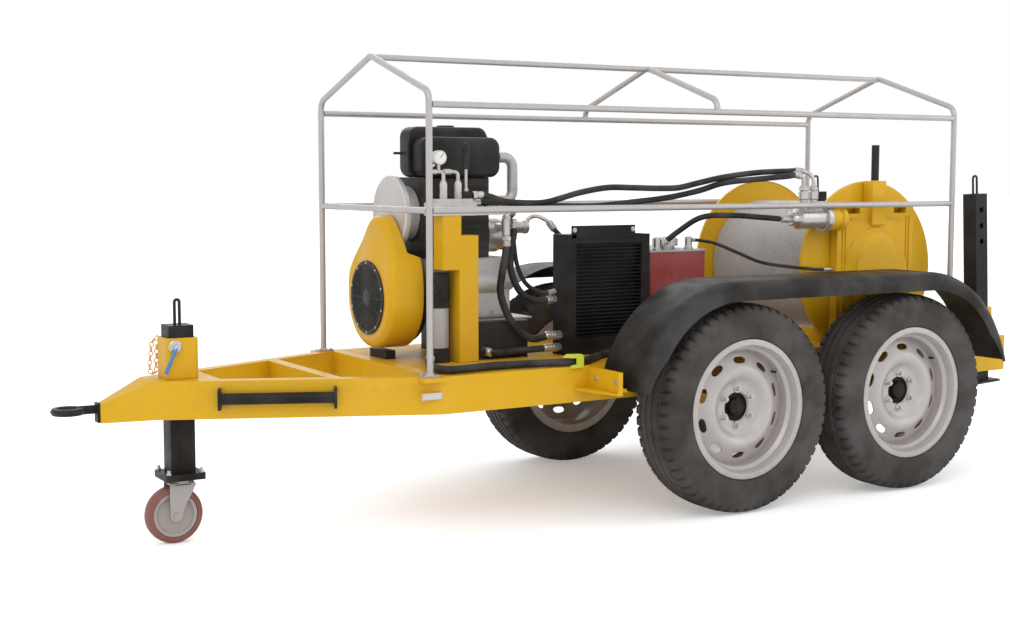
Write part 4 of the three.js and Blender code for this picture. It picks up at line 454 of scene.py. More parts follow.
def grain_effect():
    """Fine height of a surface: two sizes of noise added together."""
    tree, start, end = effect("Surface grain", {"Scale": 200.0, "Coarse Share": 0.4}, ["Height"])
    fine = noise(tree, start.outputs["Scale"], 2.0)
    coarse = noise(tree, times(tree, start.outputs["Scale"], 0.12), 3.0)
    height = times(tree, fine, times(tree, coarse, start.outputs["Coarse Share"]), "ADD")
    fill(tree, end, {"Height": height})
    return tree


EFFECTS = {
    "variation": variation_effect(),
    "wear": covering_effect("Edge wear", "Worn", (0.6, 0.6, 0.6, 1), 0.3, worn_edges),
    "dust": covering_effect("Dust", "Dust", tone("A89C8A"), 0.1, dusty_faces),
    "grain": grain_effect(),
}


def placed(tree, which, inputs):
    """One of the effects, placed in a material with its own values."""
    return node(tree, "ShaderNodeGroup", inputs, node_tree=EFFECTS[which])


def new_material(name):
    """A material with nodes, its node tree and its shader."""
    material = bpy.data.materials.new(name)
    material.use_nodes = True
    return material, material.node_tree, material.node_tree.nodes["Principled BSDF"]


def finish_material(
    name, color, roughness, metallic=0.0, worn=None, wear=0.0, variation=0.08, patch=5.0, dust=0.08,
    dust_color="A89C8A", grain=220.0, depth=0.0002, coat=0.0, specular=0.5,
):
    """A finish: colour patches, worn edges and dust over a base colour, and a fine grain."""
    material, tree, shader = new_material(name)
    varied = placed(tree, "variation", {"Color": tone(color), "Amount": variation, "Scale": patch})
    edged = placed(tree, "wear", {"Color": varied.outputs[0], "Worn": tone(worn or color), "Amount": wear})
    dusty = placed(tree, "dust", {"Color": edged.outputs[0], "Dust": tone(dust_color), "Amount": dust})
    smoothest, roughest = max(0.05, roughness - ROUGH_SPREAD), min(1.0, roughness + ROUGH_SPREAD)
    rough = remap(tree, noise(tree, 14.0, 5.0), 0.3, 0.7, smoothest, roughest)
    height = placed(tree, "grain", {"Scale": grain}).outputs[0]
    bump = node(tree, "ShaderNodeBump", {"Height": height, "Strength": 0.6, "Distance": depth})
    fill(tree, shader, {
        "Base Color": dusty.outputs["Color"], "Normal": bump.outputs[0], "Metallic": metallic,
        "Roughness": times(tree, rough, times(tree, dusty.outputs["Mask"], 0.3), "ADD"),
        "Coat Weight": coat, "Coat Roughness": 0.15, "Specular IOR Level": specular,
    })
    return material


def rope_material():
    """Steel rope: slanting strands from the rope's own map, u along its length and v round it."""
    material = finish_material(
        "Wire rope", "D2CECB", 0.45, metallic=0.45, variation=0.06, patch=20.0, dust=0.1,
    )
    tree = material.node_tree
    split = node(tree, "ShaderNodeSeparateXYZ", {0: node(tree, "ShaderNodeUVMap", uv_map="lay").outputs[0]})
    slant = times(tree, times(tree, split.outputs["X"], 6.0), split.outputs["Y"], "ADD")
    wave = times(tree, times(tree, slant, TAU * 6), 0.0, "SINE")
    bump = node(tree, "ShaderNodeBump", {"Height": wave, "Strength": 0.7, "Distance": 0.0006})
    fill(tree, tree.nodes["Principled BSDF"], {"Normal": bump.outputs[0]})
    return material


PAINT = {
    "yellow": finish_material(
        "Yellow paint", "D6A516", 0.34, worn="C79A3A", wear=0.3, variation=0.02, dust=0.02, depth=0.00008,
        grain=160, coat=0.05, specular=0.18,
    ),
    "deck": finish_material(
        "Deck paint", "CE9C12", 0.42, worn="B98D3A", wear=0.4, variation=0.05, dust=0.07, grain=120,
        specular=0.15,
    ),
    "black": finish_material(
        "Black paint", "1C1815", 0.4, worn="5A554F", wear=0.15, variation=0.05, dust=0.01,
        specular=0.12,
    ),
    "mudguard": finish_material(
        "Mudguard coating", "201B17", 0.46, dust=0.0, grain=420, depth=0.0004,
        specular=0.16,
    ),
    "silver": finish_material(
        "Silver wheel paint", "B9B2AE", 0.38, metallic=0.3, worn="8A8480", wear=0.35, variation=0.06,
        patch=9.0, dust=0.1, dust_color="9A8E80",
    ),
    "zinc": finish_material(
        "Galvanised tube", "B6B1AE", 0.36, metallic=0.45, variation=0.03, patch=30.0, dust=0.02, grain=90,
        depth=0.00006,
    ),
    "cast": finish_material(
        "Cast aluminium", "CDCAC8", 0.5, metallic=0.5, worn="DAD6D2", wear=0.3, variation=0.1, dust=0.06,
        grain=260, depth=0.0005,
    ),
    "steel": finish_material(
        "Machined steel", "C4BEBA", 0.3, metallic=0.75, patch=24.0, dust=0.03, grain=500,
        depth=0.00008,
    ),
    "dark": finish_material(
        "Dark cast iron", "26221F", 0.5, metallic=0.1, worn="5F5A55", wear=0.35, variation=0.1, dust=0.05,
        grain=260, depth=0.0005, specular=0.25,
    ),
    "red": finish_material(
        "Red paint", "8E2421", 0.34, worn="5E3A36", wear=0.25, variation=0.05, dust=0.03, coat=0.35,
        specular=0.4,
    ),
    "blue": finish_material(
        "Blue lever paint", "2A72AC", 0.38, worn="9DB4C4", wear=0.5, coat=0.3,
    ),
    "lime": finish_material("Lime clip plastic", "C4CB22", 0.5, variation=0.06),
    "tyre": finish_material(
        "Tyre rubber", "37322E", 0.72, variation=0.1, patch=7.0, dust=0.1, dust_color="7A7066", grain=500,
        depth=0.0003, specular=0.2,
    ),
    "hose": finish_material(
        "Hose rubber", "1B1917", 0.55, patch=14.0, dust=0.03, grain=700, depth=0.0003,
        specular=0.25,
    ),
    "caster": finish_material(
        "Caster tread", "7E4036", 0.55, worn="B5766A", wear=0.3, variation=0.1, dust=0.12,
    ),
    "caster_core": finish_material("Caster core", "A39A95", 0.5, variation=0.06),
    "plastic": finish_material(
        "Black plastic", "1C1916", 0.42, variation=0.06, dust=0.02, grain=600, specular=0.18,
    ),
    "fork": finish_material("Plated fork steel", "AAA4A0", 0.42, metallic=0.3, variation=0.05, dust=0.03),
    "lid": finish_material("Lid steel", "A9A4A1", 0.42, metallic=0.4, dust=0.06),
    "chain": finish_material(
        "Yellow chain", "DBA21E", 0.4, metallic=0.1, variation=0.15, worn="8A7038", wear=0.1,
    ),
    "plate": finish_material(
        "Blank plate", "C9C5C0", 0.35, metallic=0.5, variation=0.05, dust=0.04, grain=300, depth=0.0001,
    ),
    "glass": finish_material("Dial face", "E4E2DE", 0.12, variation=0.02, dust=0.02, coat=0.8),
    "rope": rope_material(),
}


# Stage

FLOOR_REACH = 60.0
FLOOR_GLOW = 0.3
LAMP_AIM = Vector((0, 0, 0.6))
# Name, place and size in metres, and power in watts.
LAMPS = [
    ("Key", (-3.6, -5.2, 5.4), 4.0, 90.0),
    ("Fill", (5.0, -3.6, 3.0), 3.0, 30.0),
    ("Back", (1.5, 5.0, 4.5), 4.0, 60.0),
]


def make_stage(floor_color, light_power):
    """A pale floor, a white surround and the soft studio lamps."""
    mesh = bpy.data.meshes.new("Floor")
    corners = [(FLOOR_REACH * x, FLOOR_REACH * y, 0) for x, y in ((-1, -1), (1, -1), (1, 1), (-1, 1))]
    mesh.from_pydata(corners, [], [(0, 1, 2, 3)])
    floor = new_object("Floor", mesh)
    material, tree, shader = new_material("Floor")
    soft = remap(tree, noise(tree, 0.6), 0.2, 0.8, 0.97, 1.0)
    direct = node(tree, "ShaderNodeLightPath").outputs["Is Camera Ray"]
    fill(tree, shader, {
        "Base Color": mixed(tree, 1.0, floor_color, soft, "MULTIPLY"), "Roughness": 0.9,
        "Specular IOR Level": 0.1, "Emission Color": (1, 1, 1, 1),
        "Emission Strength": times(tree, direct, FLOOR_GLOW),
    })
    mesh.materials.append(material)

    world = bpy.context.scene.world or bpy.data.worlds.new("Studio")
    bpy.context.scene.world = world
    world.use_nodes = True
    tree = world.node_tree
    tree.nodes.clear()
    rays = node(tree, "ShaderNodeLightPath")
    seen = times(tree, rays.outputs["Is Camera Ray"], rays.outputs["Is Transmission Ray"], "MAXIMUM")
    white = node(tree, "ShaderNodeBackground", {"Color": (1, 1, 1, 1), "Strength": 1.0})
    room = node(tree, "ShaderNodeBackground", {"Color": (0.96, 0.98, 1, 1), "Strength": light_power})
    mix = node(tree, "ShaderNodeMixShader", {0: seen, 1: room.outputs[0], 2: white.outputs[0]})
    node(tree, "ShaderNodeOutputWorld", {"Surface": mix.outputs[0]})

    for name, place, size, power in LAMPS:
        data = bpy.data.lights.new(name, "AREA")
        data.size, data.energy = size, power
        lamp = new_object(name, data)
        lamp.location = place
        lamp.rotation_euler = (LAMP_AIM - Vector(place)).to_track_quat("-Z", "Y").to_euler()


# The camera's place, its right, up and back directions, its focal length in millimetres and its shift.
CAMERA_PLACE = (-2.6906, -4.1778, 1.0860)
CAMERA_AXES = ((0.8600, -0.5103, 0.0), (0.0454, 0.0764, 0.9961), (-0.5083, -0.8566, 0.0889))
LENS, SHIFT = 52.26, (0.0035, -0.00205)


def make_camera():
    """The viewpoint of a person standing in front of the drawbar on the near side."""
    data = bpy.data.cameras.new("Camera")
    data.lens, data.sensor_width = LENS, 36.0
    data.shift_x, data.shift_y = SHIFT
    camera = new_object("Camera", data)
    camera.matrix_world = Matrix.Translation(CAMERA_PLACE) @ Matrix(CAMERA_AXES).transposed().to_4x4()
    bpy.context.scene.camera = camera
    bpy.context.scene.view_settings.view_transform = "Standard"


# Wheels

TYRE_RADIUS = 340.0
BEAD_RADIUS = 222.0
WHEEL_NUTS, NUT_CIRCLE = 6, 61.0
# Sheet of the wheel disc, and its oblong holes: radii of their band, half angle, half height.
RIM_SHEET, HOLE_BAND, HOLE_REACH, HOLE_HALF = 5.0, (134, 176), 0.158, 10.5
# Name, side and place of each wheel along the machine.
WHEELS = [
    ("near_front", NEAR, -363.0), ("near_rear", NEAR, 363.0), ("far_front", FAR, -363.0),
    ("far_rear", FAR, 363.0),
]


def tyre_shell(side, across_steps, lugs, groove_depth, lug_depth):
    """A tyre section carried round the axle.

    The tread's radius at share t of its half width is crowned by 7 t^4 and has four narrow grooves.
    Once per lug the shoulders step in, as a square wave that fades out down the sidewall.
    """
    bead, outer, middle, tread_half, per_lug = BEAD_RADIUS, TYRE_RADIUS, 507.0, 74.0, 8
    section = [
        (bead + 3, 438, 0), (bead + 8, 424.5, 0), (bead + 20, 418, 0), (bead + 50, 416, 0),
        (bead + 78, 418, 0), (outer - 26, 422, 0.35), (outer - 15, 425.5, 0.8), (outer - 9.5, 430, 1),
    ]
    for t in np.linspace(-1, 1, across_steps):
        groove = max(math.exp(-(((t * tread_half - g) / 3.4) ** 4)) for g in (-43, -15, 15, 43))
        crown = outer - 7 * t**4 - groove_depth * groove
        section.append((crown, middle + t * tread_half, 1 if abs(t) > 0.66 else 0))
    section += [
        (outer - 9.5, 584, 1), (outer - 15, 589, 0.8), (outer - 26, 593, 0.35), (outer - 40, 596, 0),
        (bead + 66, 597.5, 0), (bead + 50, 598, 0), (bead + 20, 596, 0), (bead + 8, 589.5, 0),
        (bead + 3, 576, 0),
    ]
    lining = [
        (bead + 6, 560), (bead + 30, 588), (bead + 70, 588), (outer - 34, 575), (outer - 20, 507),
        (outer - 34, 440), (bead + 70, 426), (bead + 30, 426), (bead + 6, 454),
    ]
    radius, across, share = np.array(section).T[:, None]
    phase = np.arange(lugs * per_lug)[:, None]
    cut = np.where(across > middle, phase, phase + per_lug // 2) % per_lug >= per_lug - 2
    angle = phase * TAU / len(phase)
    skins = [
        np.stack(np.broadcast_arrays(r * np.cos(angle), side * y, r * np.sin(angle)), axis=-1)
        for r, y in ((radius - lug_depth * share * cut, across), np.array(lining).T[:, None])
    ]
    return rings(np.concatenate(skins, axis=1), closed=True)


def welded(points, faces, tolerance=1e-3):
    """Points closer than the tolerance are made one."""
    _, first, back = np.unique(
        np.round(points / tolerance).astype(int), axis=0, return_index=True, return_inverse=True,
    )
    back = back.ravel()
    return outward(points[first], [[int(back[v]) for v in face] for face in faces])


def pierced_disc(profile, thickness, slots, inner, outer, hole_reach, hole_half, steps=12):
    """A dished disc with a ring of oblong holes.

    The face height is read from the profile of (radius, y) pairs. Between the inner and outer radius
    each hole's sector is a band of faces from its four-sided border to the oblong
    (a cos t, b sin t) about the sector's middle.
    """
    radii, heights = np.array(profile).T
    count = 0
    points, faces = [], []

    def surface(r, a, lift):
        r, a = np.broadcast_arrays(r, a)
        return np.stack([r * np.cos(a), np.interp(r, radii, heights) + lift, r * np.sin(a)], axis=-1)

    def add(grid, close_rows=False, close_cols=False):
        nonlocal count
        rows, cols = grid.shape[:2]
        points.append(grid.reshape(-1, 3))
        faces.extend((grid_faces(rows, cols, close_rows, close_cols) + count).tolist())
        count += rows * cols

    angle = np.arange(slots * steps) * TAU / (slots * steps)
    for low, high in ((radii[0], inner), (outer, radii[-1])):
        r = np.array([v for v in radii if low <= v <= high])
        for lift in (0.0, -thickness):
            add(surface(r[None, :], angle[:, None], lift), close_rows=True)
    for end in (radii[0], radii[-1]):
        pair = np.stack([surface(end, angle, lift) for lift in (0.0, -thickness)], axis=1)
        add(pair, close_rows=True)
    side_steps = 4
    run, rise = (np.linspace(-1, 1, n + 1)[:-1] for n in (steps, side_steps))
    u = np.concatenate([run, np.ones(side_steps), -run, -np.ones(side_steps)])
    v = np.concatenate([-np.ones(steps), rise, np.ones(steps), -rise])
    middle, half_r, half_a = (inner + outer) / 2, (outer - inner) / 2, math.pi / slots
    t = np.arctan2(v, u)
    hole_u, hole_v = hole_reach * np.sign(np.cos(t)) * np.abs(np.cos(t)) ** 0.75, hole_half * np.sin(t)
    for k in range(slots):
        centre = (2 * k + 1) * half_a
        edges = []
        for lift in (0.0, -thickness):
            grid = []
            for share in (0.0, 0.55, 1.0):
                a = centre + half_a * u * (1 - share) + hole_u * share
                r = middle + half_r * v * (1 - share) + hole_v * share
                grid.append(surface(r, a, lift - (1.5 if share == 1 and lift == 0 else 0)))
            add(np.stack(grid), close_cols=True)
            edges.append(grid[-1])
        add(np.stack(edges), close_cols=True)
    return welded(np.vstack(points), faces)


def make_wheels(slots, groove_depth, lug_depth, lugs):
    """Tyres, pierced rims, hubs and nuts of the four road wheels."""
    centre = (0, 0, 0)
    barrel = [
        (196, 426), (222, 426), (226, 428), (226, 431), (213, 434), (211, 452), (198, 462), (193, 500),
        (197, 545), (207, 556), (212, 580), (226, 583), (226, 587), (222, 589), (208, 589), (205, 585),
        (200, 560), (190, 550), (187, 500), (191, 458), (204, 448), (205, 436), (196, 426),
    ]
    plate = [
        (46, 519), (50, 525), (66, 527), (76, 528), (84, 531), (92, 538), (100, 546), (110, 552), (118, 554),
        (126, 553), (134, 549), (176, 527), (181, 524), (186, 521), (189, 520),
    ]
    cap = [
        (46, 470), (60, 474), (60, 508), (47, 519), (45, 521), (44, 515), (30, 513), (28, 526), (22, 530),
        (0.5, 531), (0.5, 470),
    ]
    nuts = []
    for u, v in around(WHEEL_NUTS, NUT_CIRCLE):
        nuts += bolts([(u, 526.5, v)], "y", 1, 9.5, 13) + [rod("y", 522, 545, 5.5, (u, 0, v), 12)]
    disc = pierced_disc(plate, RIM_SHEET, slots, *HOLE_BAND, HOLE_REACH, HOLE_HALF)
    rim = [
        ("silver", [turned(barrel, "y", centre, 120), disc]), ("black", [turned(cap, "y", centre, 40)]),
        ("steel", nuts), ("black", [rod("y", 520, 546, 3.5, (145.6, 0, 105.8), 12)]),
    ]
    for name, side, x in WHEELS:
        shift = AXLE_MIDDLE + np.array([x * MM, 0, TYRE_RADIUS * MM])
        tyre, mirror = tyre_shell(side, 45, lugs, groove_depth, lug_depth), np.array([1, side, 1])
        make_piece(
            "tyre_" + name + "_tread", ("tyre", [tyre]), flat=28, shift=shift,
            replaces="tyre_" + name,
        )
        parts = [(finish, [outward(p * mirror, f) for p, f in shells]) for finish, shells in rim]
        make_piece(
            "rim_" + name + "_pressed", *parts, flat=30, shift=shift, replaces="rim_" + name,
        )


# Mudguards

def mudguard_path(steps):
    """(x, z, outward x, outward z, skirt share) up the front arc, along the top, down the rear arc."""
    radius, half, centre_z, end_z = 390.0, 425.0, 365.0, 428.0
    low = math.asin((end_z - centre_z) / radius)
    arc = [(a, math.cos(a), math.sin(a)) for a in np.linspace(low, math.pi / 2, steps)]
    out = []
    for a, c, s in arc:
        share = 0.4 + 0.6 * min(1.0, (a - low) / 0.35)
        out.append((-half - radius * c, centre_z + radius * s, -c, s, share))
    for x in np.linspace(-half, half, 12)[1:-1]:
        out.append((x, centre_z + radius, 0.0, 1.0, 1.0))
    return out + [(-x, z, -nx, nz, share) for x, z, nx, nz, share in reversed(out[:steps])]


def make_mudguards(thickness, shoulder, steps):
    """One pressed sheet over each pair of wheels: a rounded shoulder and a hanging skirt."""
    inner_y, outer_y, skirt = 400.3, 620.0, 62.0
    angles = [math.pi / 2 * k / 8 for k in range(9)]
    lip = outer_y - thickness

    def bend(radius, order):
        return [(outer_y - shoulder + radius * math.cos(a), -shoulder + radius * math.sin(a)) for a in order]

    across, drop = np.array([
        (inner_y, 0), (inner_y + 90, 0), *bend(shoulder, angles[::-1]), (outer_y, -skirt + 6),
        (outer_y, -skirt), (lip, -skirt), (lip, -skirt + 6), *bend(shoulder - thickness, angles),
        (inner_y + 90, -thickness), (inner_y, -thickness),
    ]).T
    for name, side in (("near_fender", NEAR), ("far_fender", FAR)):
        grid = []
        for x, z, nx, nz, share in mudguard_path(steps):
            depth = np.where(drop > -thickness, drop, -thickness + (drop + thickness) * share)
            grid.append(np.stack([x + nx * depth, side * across, z + nz * depth], axis=-1))
        make_piece(
            name + "_pressed", ("mudguard", [rings(np.array(grid))]), flat=30, replaces=name,
        )


# Canopy

CANOPY_FRONT, CANOPY_MIDDLE, CANOPY_REAR = -1410.0, -345.0, 755.0
CANOPY_TUBE, CANOPY_HALF, CANOPY_BEND = 10.0, 386.0, 40.0
EAVE_Z, RIDGE_Z, EAVE_RAIL_Z, MID_RAIL_Z = 1330.0, 1458.0, 1293.0, 984.0


def make_canopy(bend_steps, sides):
    """Three arched posts, rails on both sides, the ridge rail and their welded feet."""
    def straight(x0, x1, y, z):
        return tube([(x0, y, z), (-300, y, z), (x1, y, z)], CANOPY_TUBE, sides)

    for node_name, x in (("front_hoop", CANOPY_FRONT), ("rear_hoop", CANOPY_REAR)):
        shells = [tube(hoop_path(x, 499.3, bend_steps), CANOPY_TUBE, sides)]
        for side in (NEAR, FAR):
            plate = rounded_outline(x - 28, x + 28, *sorted((side * 358.5, side * 399.3)), 4)
            shells.append(prism("z", plate, 494.4, 499.3))
            shells += bolts([(x + u, side * 366, 499.3) for u in (-19, 19)], "z", 1, 5)
            collar = [(10, 499.3), (13.5, 499.4), (10.2, 504), (10, 499.3)]
            shells.append(turned(collar, "z", (x, side * CANOPY_HALF, 0), 24))
        if node_name == "front_hoop":
            bar = [(x, y, MID_RAIL_Z) for y in (9 - CANOPY_HALF, 0, CANOPY_HALF - 9)]
            shells.append(tube(bar, CANOPY_TUBE, sides))
        make_piece(node_name + "_bent", ("zinc", shells), flat=40, replaces=node_name)
    shells = [tube(hoop_path(CANOPY_MIDDLE, EAVE_RAIL_Z, bend_steps), CANOPY_TUBE, sides)]
    shells += [straight(-1401, 746, side * CANOPY_HALF, EAVE_RAIL_Z) for side in (NEAR, FAR)]
    ridge = [(x, 0, 1454) for x in (CANOPY_FRONT, CANOPY_MIDDLE, CANOPY_REAR)]
    shells.append(tube(ridge, CANOPY_TUBE * 0.98, sides))
    make_piece("roof_frame_bent", ("zinc", shells), flat=40, replaces="roof_frame")
    for node_name, side in (("near_mid_rail", NEAR), ("far_mid_rail", FAR)):
        rail = straight(-1400.5, 745.5, side * CANOPY_HALF, MID_RAIL_Z)
        make_piece(node_name + "_round", ("zinc", [rail]), flat=40, replaces=node_name)


def hoop_path(x, foot, steps):
    """Up one side, round the eave, over the ridge and down the other side."""
    half = CANOPY_HALF
    corners = [(-half, foot), (-half, EAVE_Z), (0, RIDGE_Z), (half, EAVE_Z), (half, foot)]
    return bent([(x, y, z) for y, z in corners], CANOPY_BEND, steps)


# Hoses, in drawing millimetres: radius, step along the route, lengths of the crimped metal at the start and
# at the end and of a bare steel bend beyond its end, and the route of the centre line.

HOSES = {
    "top_hose_a": (10, 6, (36, 34, 74), [
        (-1120, -131, 1024), (-1090, -135, 1025), (-1061, -137, 1020), (-1013, -141, 1005),
        (-943, -148, 999), (-866, -156, 1000), (-809, -170, 1014), (-752, -190, 1031), (-655, -210, 1047),
        (-565, -230, 1046), (-473, -250, 1044), (-410, -268, 1046), (-351, -288, 1060),
        (-256, -300, 1079), (-104, -306, 1096), (20, -316, 1101), (68, -326, 1102), (100, -338, 1094),
        (111, -348, 1076), (112, -350, 1064), (112, -350, 1052.4),
    ]),
    "top_hose_b": (10, 6, (36, 30, 42), [
        (-1109.3, -98, 1001), (-1088, -98, 1001), (-1007, -104, 1001), (-923, -114, 996),
        (-797, -132, 988), (-683, -162, 986), (-533, -200, 1000), (-422, -236, 1014), (-325, -276, 1037),
        (-256, -304, 1060), (-104, -338, 1076), (-6, -350, 1084), (42, -350, 1088), (63, -350, 1078),
        (66, -350, 1066), (66, -350, 1052.4),
    ]),
    "motor_hose": (10, 6, (34, 44, 0), [
        (-382.5, -131, 858), (-366, -131, 858), (-325, -156, 894), (-260, -200, 943), (-166, -250, 950),
        (-76, -310, 943), (-24, -350, 938), (7.6, -350, 938),
    ]),
    "case_drain_hose": (6, 4, (22, 48, 0), [
        (-230.6, -111, 862), (-218, -111, 862), (-181, -172, 853), (-120, -220, 822), (-46, -262, 787),
        (56, -306, 769), (120, -318, 762), (172, -320, 757), (238.6, -320, 757),
    ]),
    "cooler_hose_long": (12.3, 7, (34, 62, 0), [
        (-985, -112, 889), (-987, -116, 862), (-993, -118, 822), (-1006, -120, 767), (-1013, -122, 717),
        (-1002, -124, 669), (-974, -126, 616), (-932, -126, 572), (-888, -124, 553), (-850, -122, 557),
        (-820, -122, 560), (-782.3, -122, 560),
    ]),
    "cooler_hose_short": (11.5, 7, (30, 34, 0), [
        (-950, -96, 945), (-946, -96, 905), (-956, -96, 851), (-959, -96, 788), (-943, -95, 740),
        (-910, -93, 697), (-868, -91, 676), (-830, -90, 674), (-782.3, -90, 678),
    ]),
    "pump_hose": (7.5, 6, (26, 28, 0), [
        (-944, -66.6, 916), (-943, -76, 909), (-938, -80, 874), (-924, -80, 794), (-891, -80, 733),
        (-844, -82, 704), (-810, -88, 698), (-782.4, -92, 704),
    ]),
    "base_hose": (11.5, 6, (34, 66, 0), [
        (-1062, -100.6, 521), (-1062, -118, 520), (-1040, -127, 518), (-1003, -123, 517),
        (-911, -120, 518), (-854, -120, 519), (-782.3, -120, 520),
    ]),
    "deck_hose": (12.3, 7, (26, 26, 0), [
        (-1251.5, -92, 508), (-1290, -150, 508), (-1322, -230, 508), (-1345, -300, 508),
        (-1348, -345, 508), (-1325, -366, 508), (-1259, -360, 508), (-1180, -348, 508),
        (-1098, -353, 508), (-1019, -366, 508), (-950, -382, 508), (-900, -387, 508), (-850, -376, 508),
        (-790, -330, 508), (-714, -266, 508), (-620, -240, 508), (-520, -215, 508), (-430, -184, 508),
        (-404, -172, 508), (-397, -164, 508), (-396, -156, 508),
    ]),
}

# The two cooler hoses share one CAD node, and the long one stands for it.
HOSE_NODES = {"cooler_hose_long": "cooler_hose_pair", "cooler_hose_short": None}


def crimped_end(path, radius, length):
    """A crimped ferrule and its hexagon nut round the end of a hose; the path starts at the fitting."""
    start, ahead = path[0], path[min(len(path) - 1, 3)]
    aim = (ahead - start) / np.linalg.norm(ahead - start)
    turn = Vector((0, 0, 1)).rotation_difference(Vector(aim)).to_matrix()
    ridged = [(radius * 0.9, length * 0.35)]
    for z in (length * (0.4 + 0.14 * k) for k in range(4)):
        ridged += [(radius * 1.28, z), (radius * 1.28, z + length * 0.07), (radius * 1.18, z + length * 0.09)]
    sleeve = spindle(ridged + [(radius * 1.02, length)], "z", (0, 0, 0), 20)
    nut = prism("z", hexagon(radius * 1.35), 0.3, length * 0.36)
    return [(p @ np.array(turn).T + start, f) for p, f in (sleeve, nut)]


def make_hoses(sides, swell):
    """Rubber hoses along their routes, their crimped metal ends, and the steel bends beyond them."""
    rubber_looks = {"flat": 60, "slot": "hose_rubber"}
    for name, (radius, spacing, (start, end, beyond), route) in HOSES.items():
        path = smooth_path(route, spacing)
        left = np.linalg.norm(np.diff(path, axis=0), axis=1)[::-1].cumsum()
        cut = len(path) - 1 - int(np.searchsorted(left, beyond)) if beyond else len(path)
        rubber = path[: cut + 1]
        hose = tube(rubber, radius * 0.985, sides)
        make_piece(name + "_rubber", ("hose", [hose]), replaces=HOSE_NODES.get(name, name), **rubber_looks)
        shells = crimped_end(rubber, radius * swell, start) + crimped_end(rubber[::-1], radius * swell, end)
        if beyond:
            shells.append(tube(path[cut:], radius * 0.72, sides))
        make_piece(name + "_fittings", ("steel", shells), flat=30, slot="bare_steel")
    pipe = bent([(-985, -112, 889), (-985, -112, 964), (-948, -96, 966), (-946, -30, 930)], 12, 6)
    joint = (-757, -10, 930)
    bend = smooth_path([(-826, 27, 922), (-812, 26, 944), (-787, 20, 950), (-769, 8, 942), joint], 5)
    short = smooth_path([joint, (-748, -30, 906), (-738, -50, 886), (-733, -66, 872), (-732, -74, 866)], 5)
    shells = [tube(pipe, 10.5, sides), tube(bend, 7, sides)] + crimped_end(short, 10, 34)
    shells += [rod("z", 893, 948, 13.5, (-985, -112, 0), 24), rod("z", 946, 956, 15.5, (-985, -112, 0), 6)]
    make_piece("pump_pipes", ("steel", shells), flat=40, slot="bare_steel")
    make_piece("pump_tail_hose", ("hose", [tube(short, 8.5, sides)]), **rubber_looks)
    make_clip()


def make_clip():
    """A lime clip over the deck hose at the frame's edge: a C in front of it with a tab across its top."""
    outline = [
        (-952, 527), (-942, 534), (-892, 532), (-882, 528), (-882, 491), (-925, 491), (-925, 497),
        (-903, 500), (-903, 522), (-930, 524),
    ]
    shells = [prism("y", outline, -409, -402.5), block(-905, -882, -404, -372, 521.5, 528)]
    make_piece("hose_clip", ("lime", shells), bevel=1.5, slot="hose_rubber")


# Engine

ENGINE_Y = 120.0
FAN_Z = 692.0
FAN_AXIS = (0, ENGINE_Y, FAN_Z)
BLADES = 9
BLADE_PITCH = 0.5
GRILLE_WIRE = 2.6


def teardrop(radius, steps):
    """Points (across, up) round a bowl that narrows upwards to a rounded neck."""
    bowl = 170
    right = [
        (0, 274), (20, 273), (38, 266), (60, 250), (77, 232), (100, 206), (123, 176), (143, 145), (158, 112),
        (167, 70), (bowl, 30), (bowl, 0),
    ]
    right += [(bowl * math.cos(a), -bowl * math.sin(a)) for a in np.linspace(0, math.pi / 2, steps)[1:]]
    right = smooth_path([(u, w, 0) for u, w in right], 8)[:, :2]
    return np.vstack([right, (right * (-1, 1))[::-1][1:-1]]) * (radius / bowl)


def make_fan_housing(round_over, sheet):
    """The yellow shroud: one skin from the grille's rim over the rounded front edge to the back."""
    front_x, neck_x, rear_x, disc_x = -1370.0, -1345.0, -1250.0, -1292.3
    outline = teardrop(165.0, 24)
    reach = np.linalg.norm(outline, axis=1)[:, None]
    circle, up = outline / reach, outline[:, 1]
    lean = np.clip((up - 60) / 150, 0, 1)
    front = front_x + (neck_x - front_x) * lean**2 * (3 - 2 * lean)
    rear = rear_x + (disc_x - rear_x) * np.clip((up - 138) / 6, 0, 1)

    def ring(x, inset, mouth=None):
        flat = mouth * circle if mouth else outline - circle * inset * np.minimum(1, reach / 170)
        across, rise = flat.T
        return np.stack([np.broadcast_to(x, len(outline)), ENGINE_Y + across, FAN_Z + rise], axis=-1)

    rows = [ring(front_x + 3, 0, 113), ring(front_x, 0, 116)]
    for a in np.linspace(0, math.pi / 2, 8):
        rows.append(ring(front + round_over * (1 - math.cos(a)), round_over * (1 - math.sin(a))))
    rows += [
        ring(rear - 2, 0), ring(rear, 2), ring(rear, 6), ring(rear - sheet, 8),
        ring(front + round_over + sheet, sheet + 2), ring(front_x + sheet + 4, 0, 122),
    ]
    shell = rings(np.array(rows), closed=True)
    back = rod("x", rear_x - sheet - 1, rear_x - 0.5, 156, FAN_AXIS, 64)
    make_piece("fan_housing_shroud", ("yellow", [shell, back]), flat=40, replaces="fan_housing")


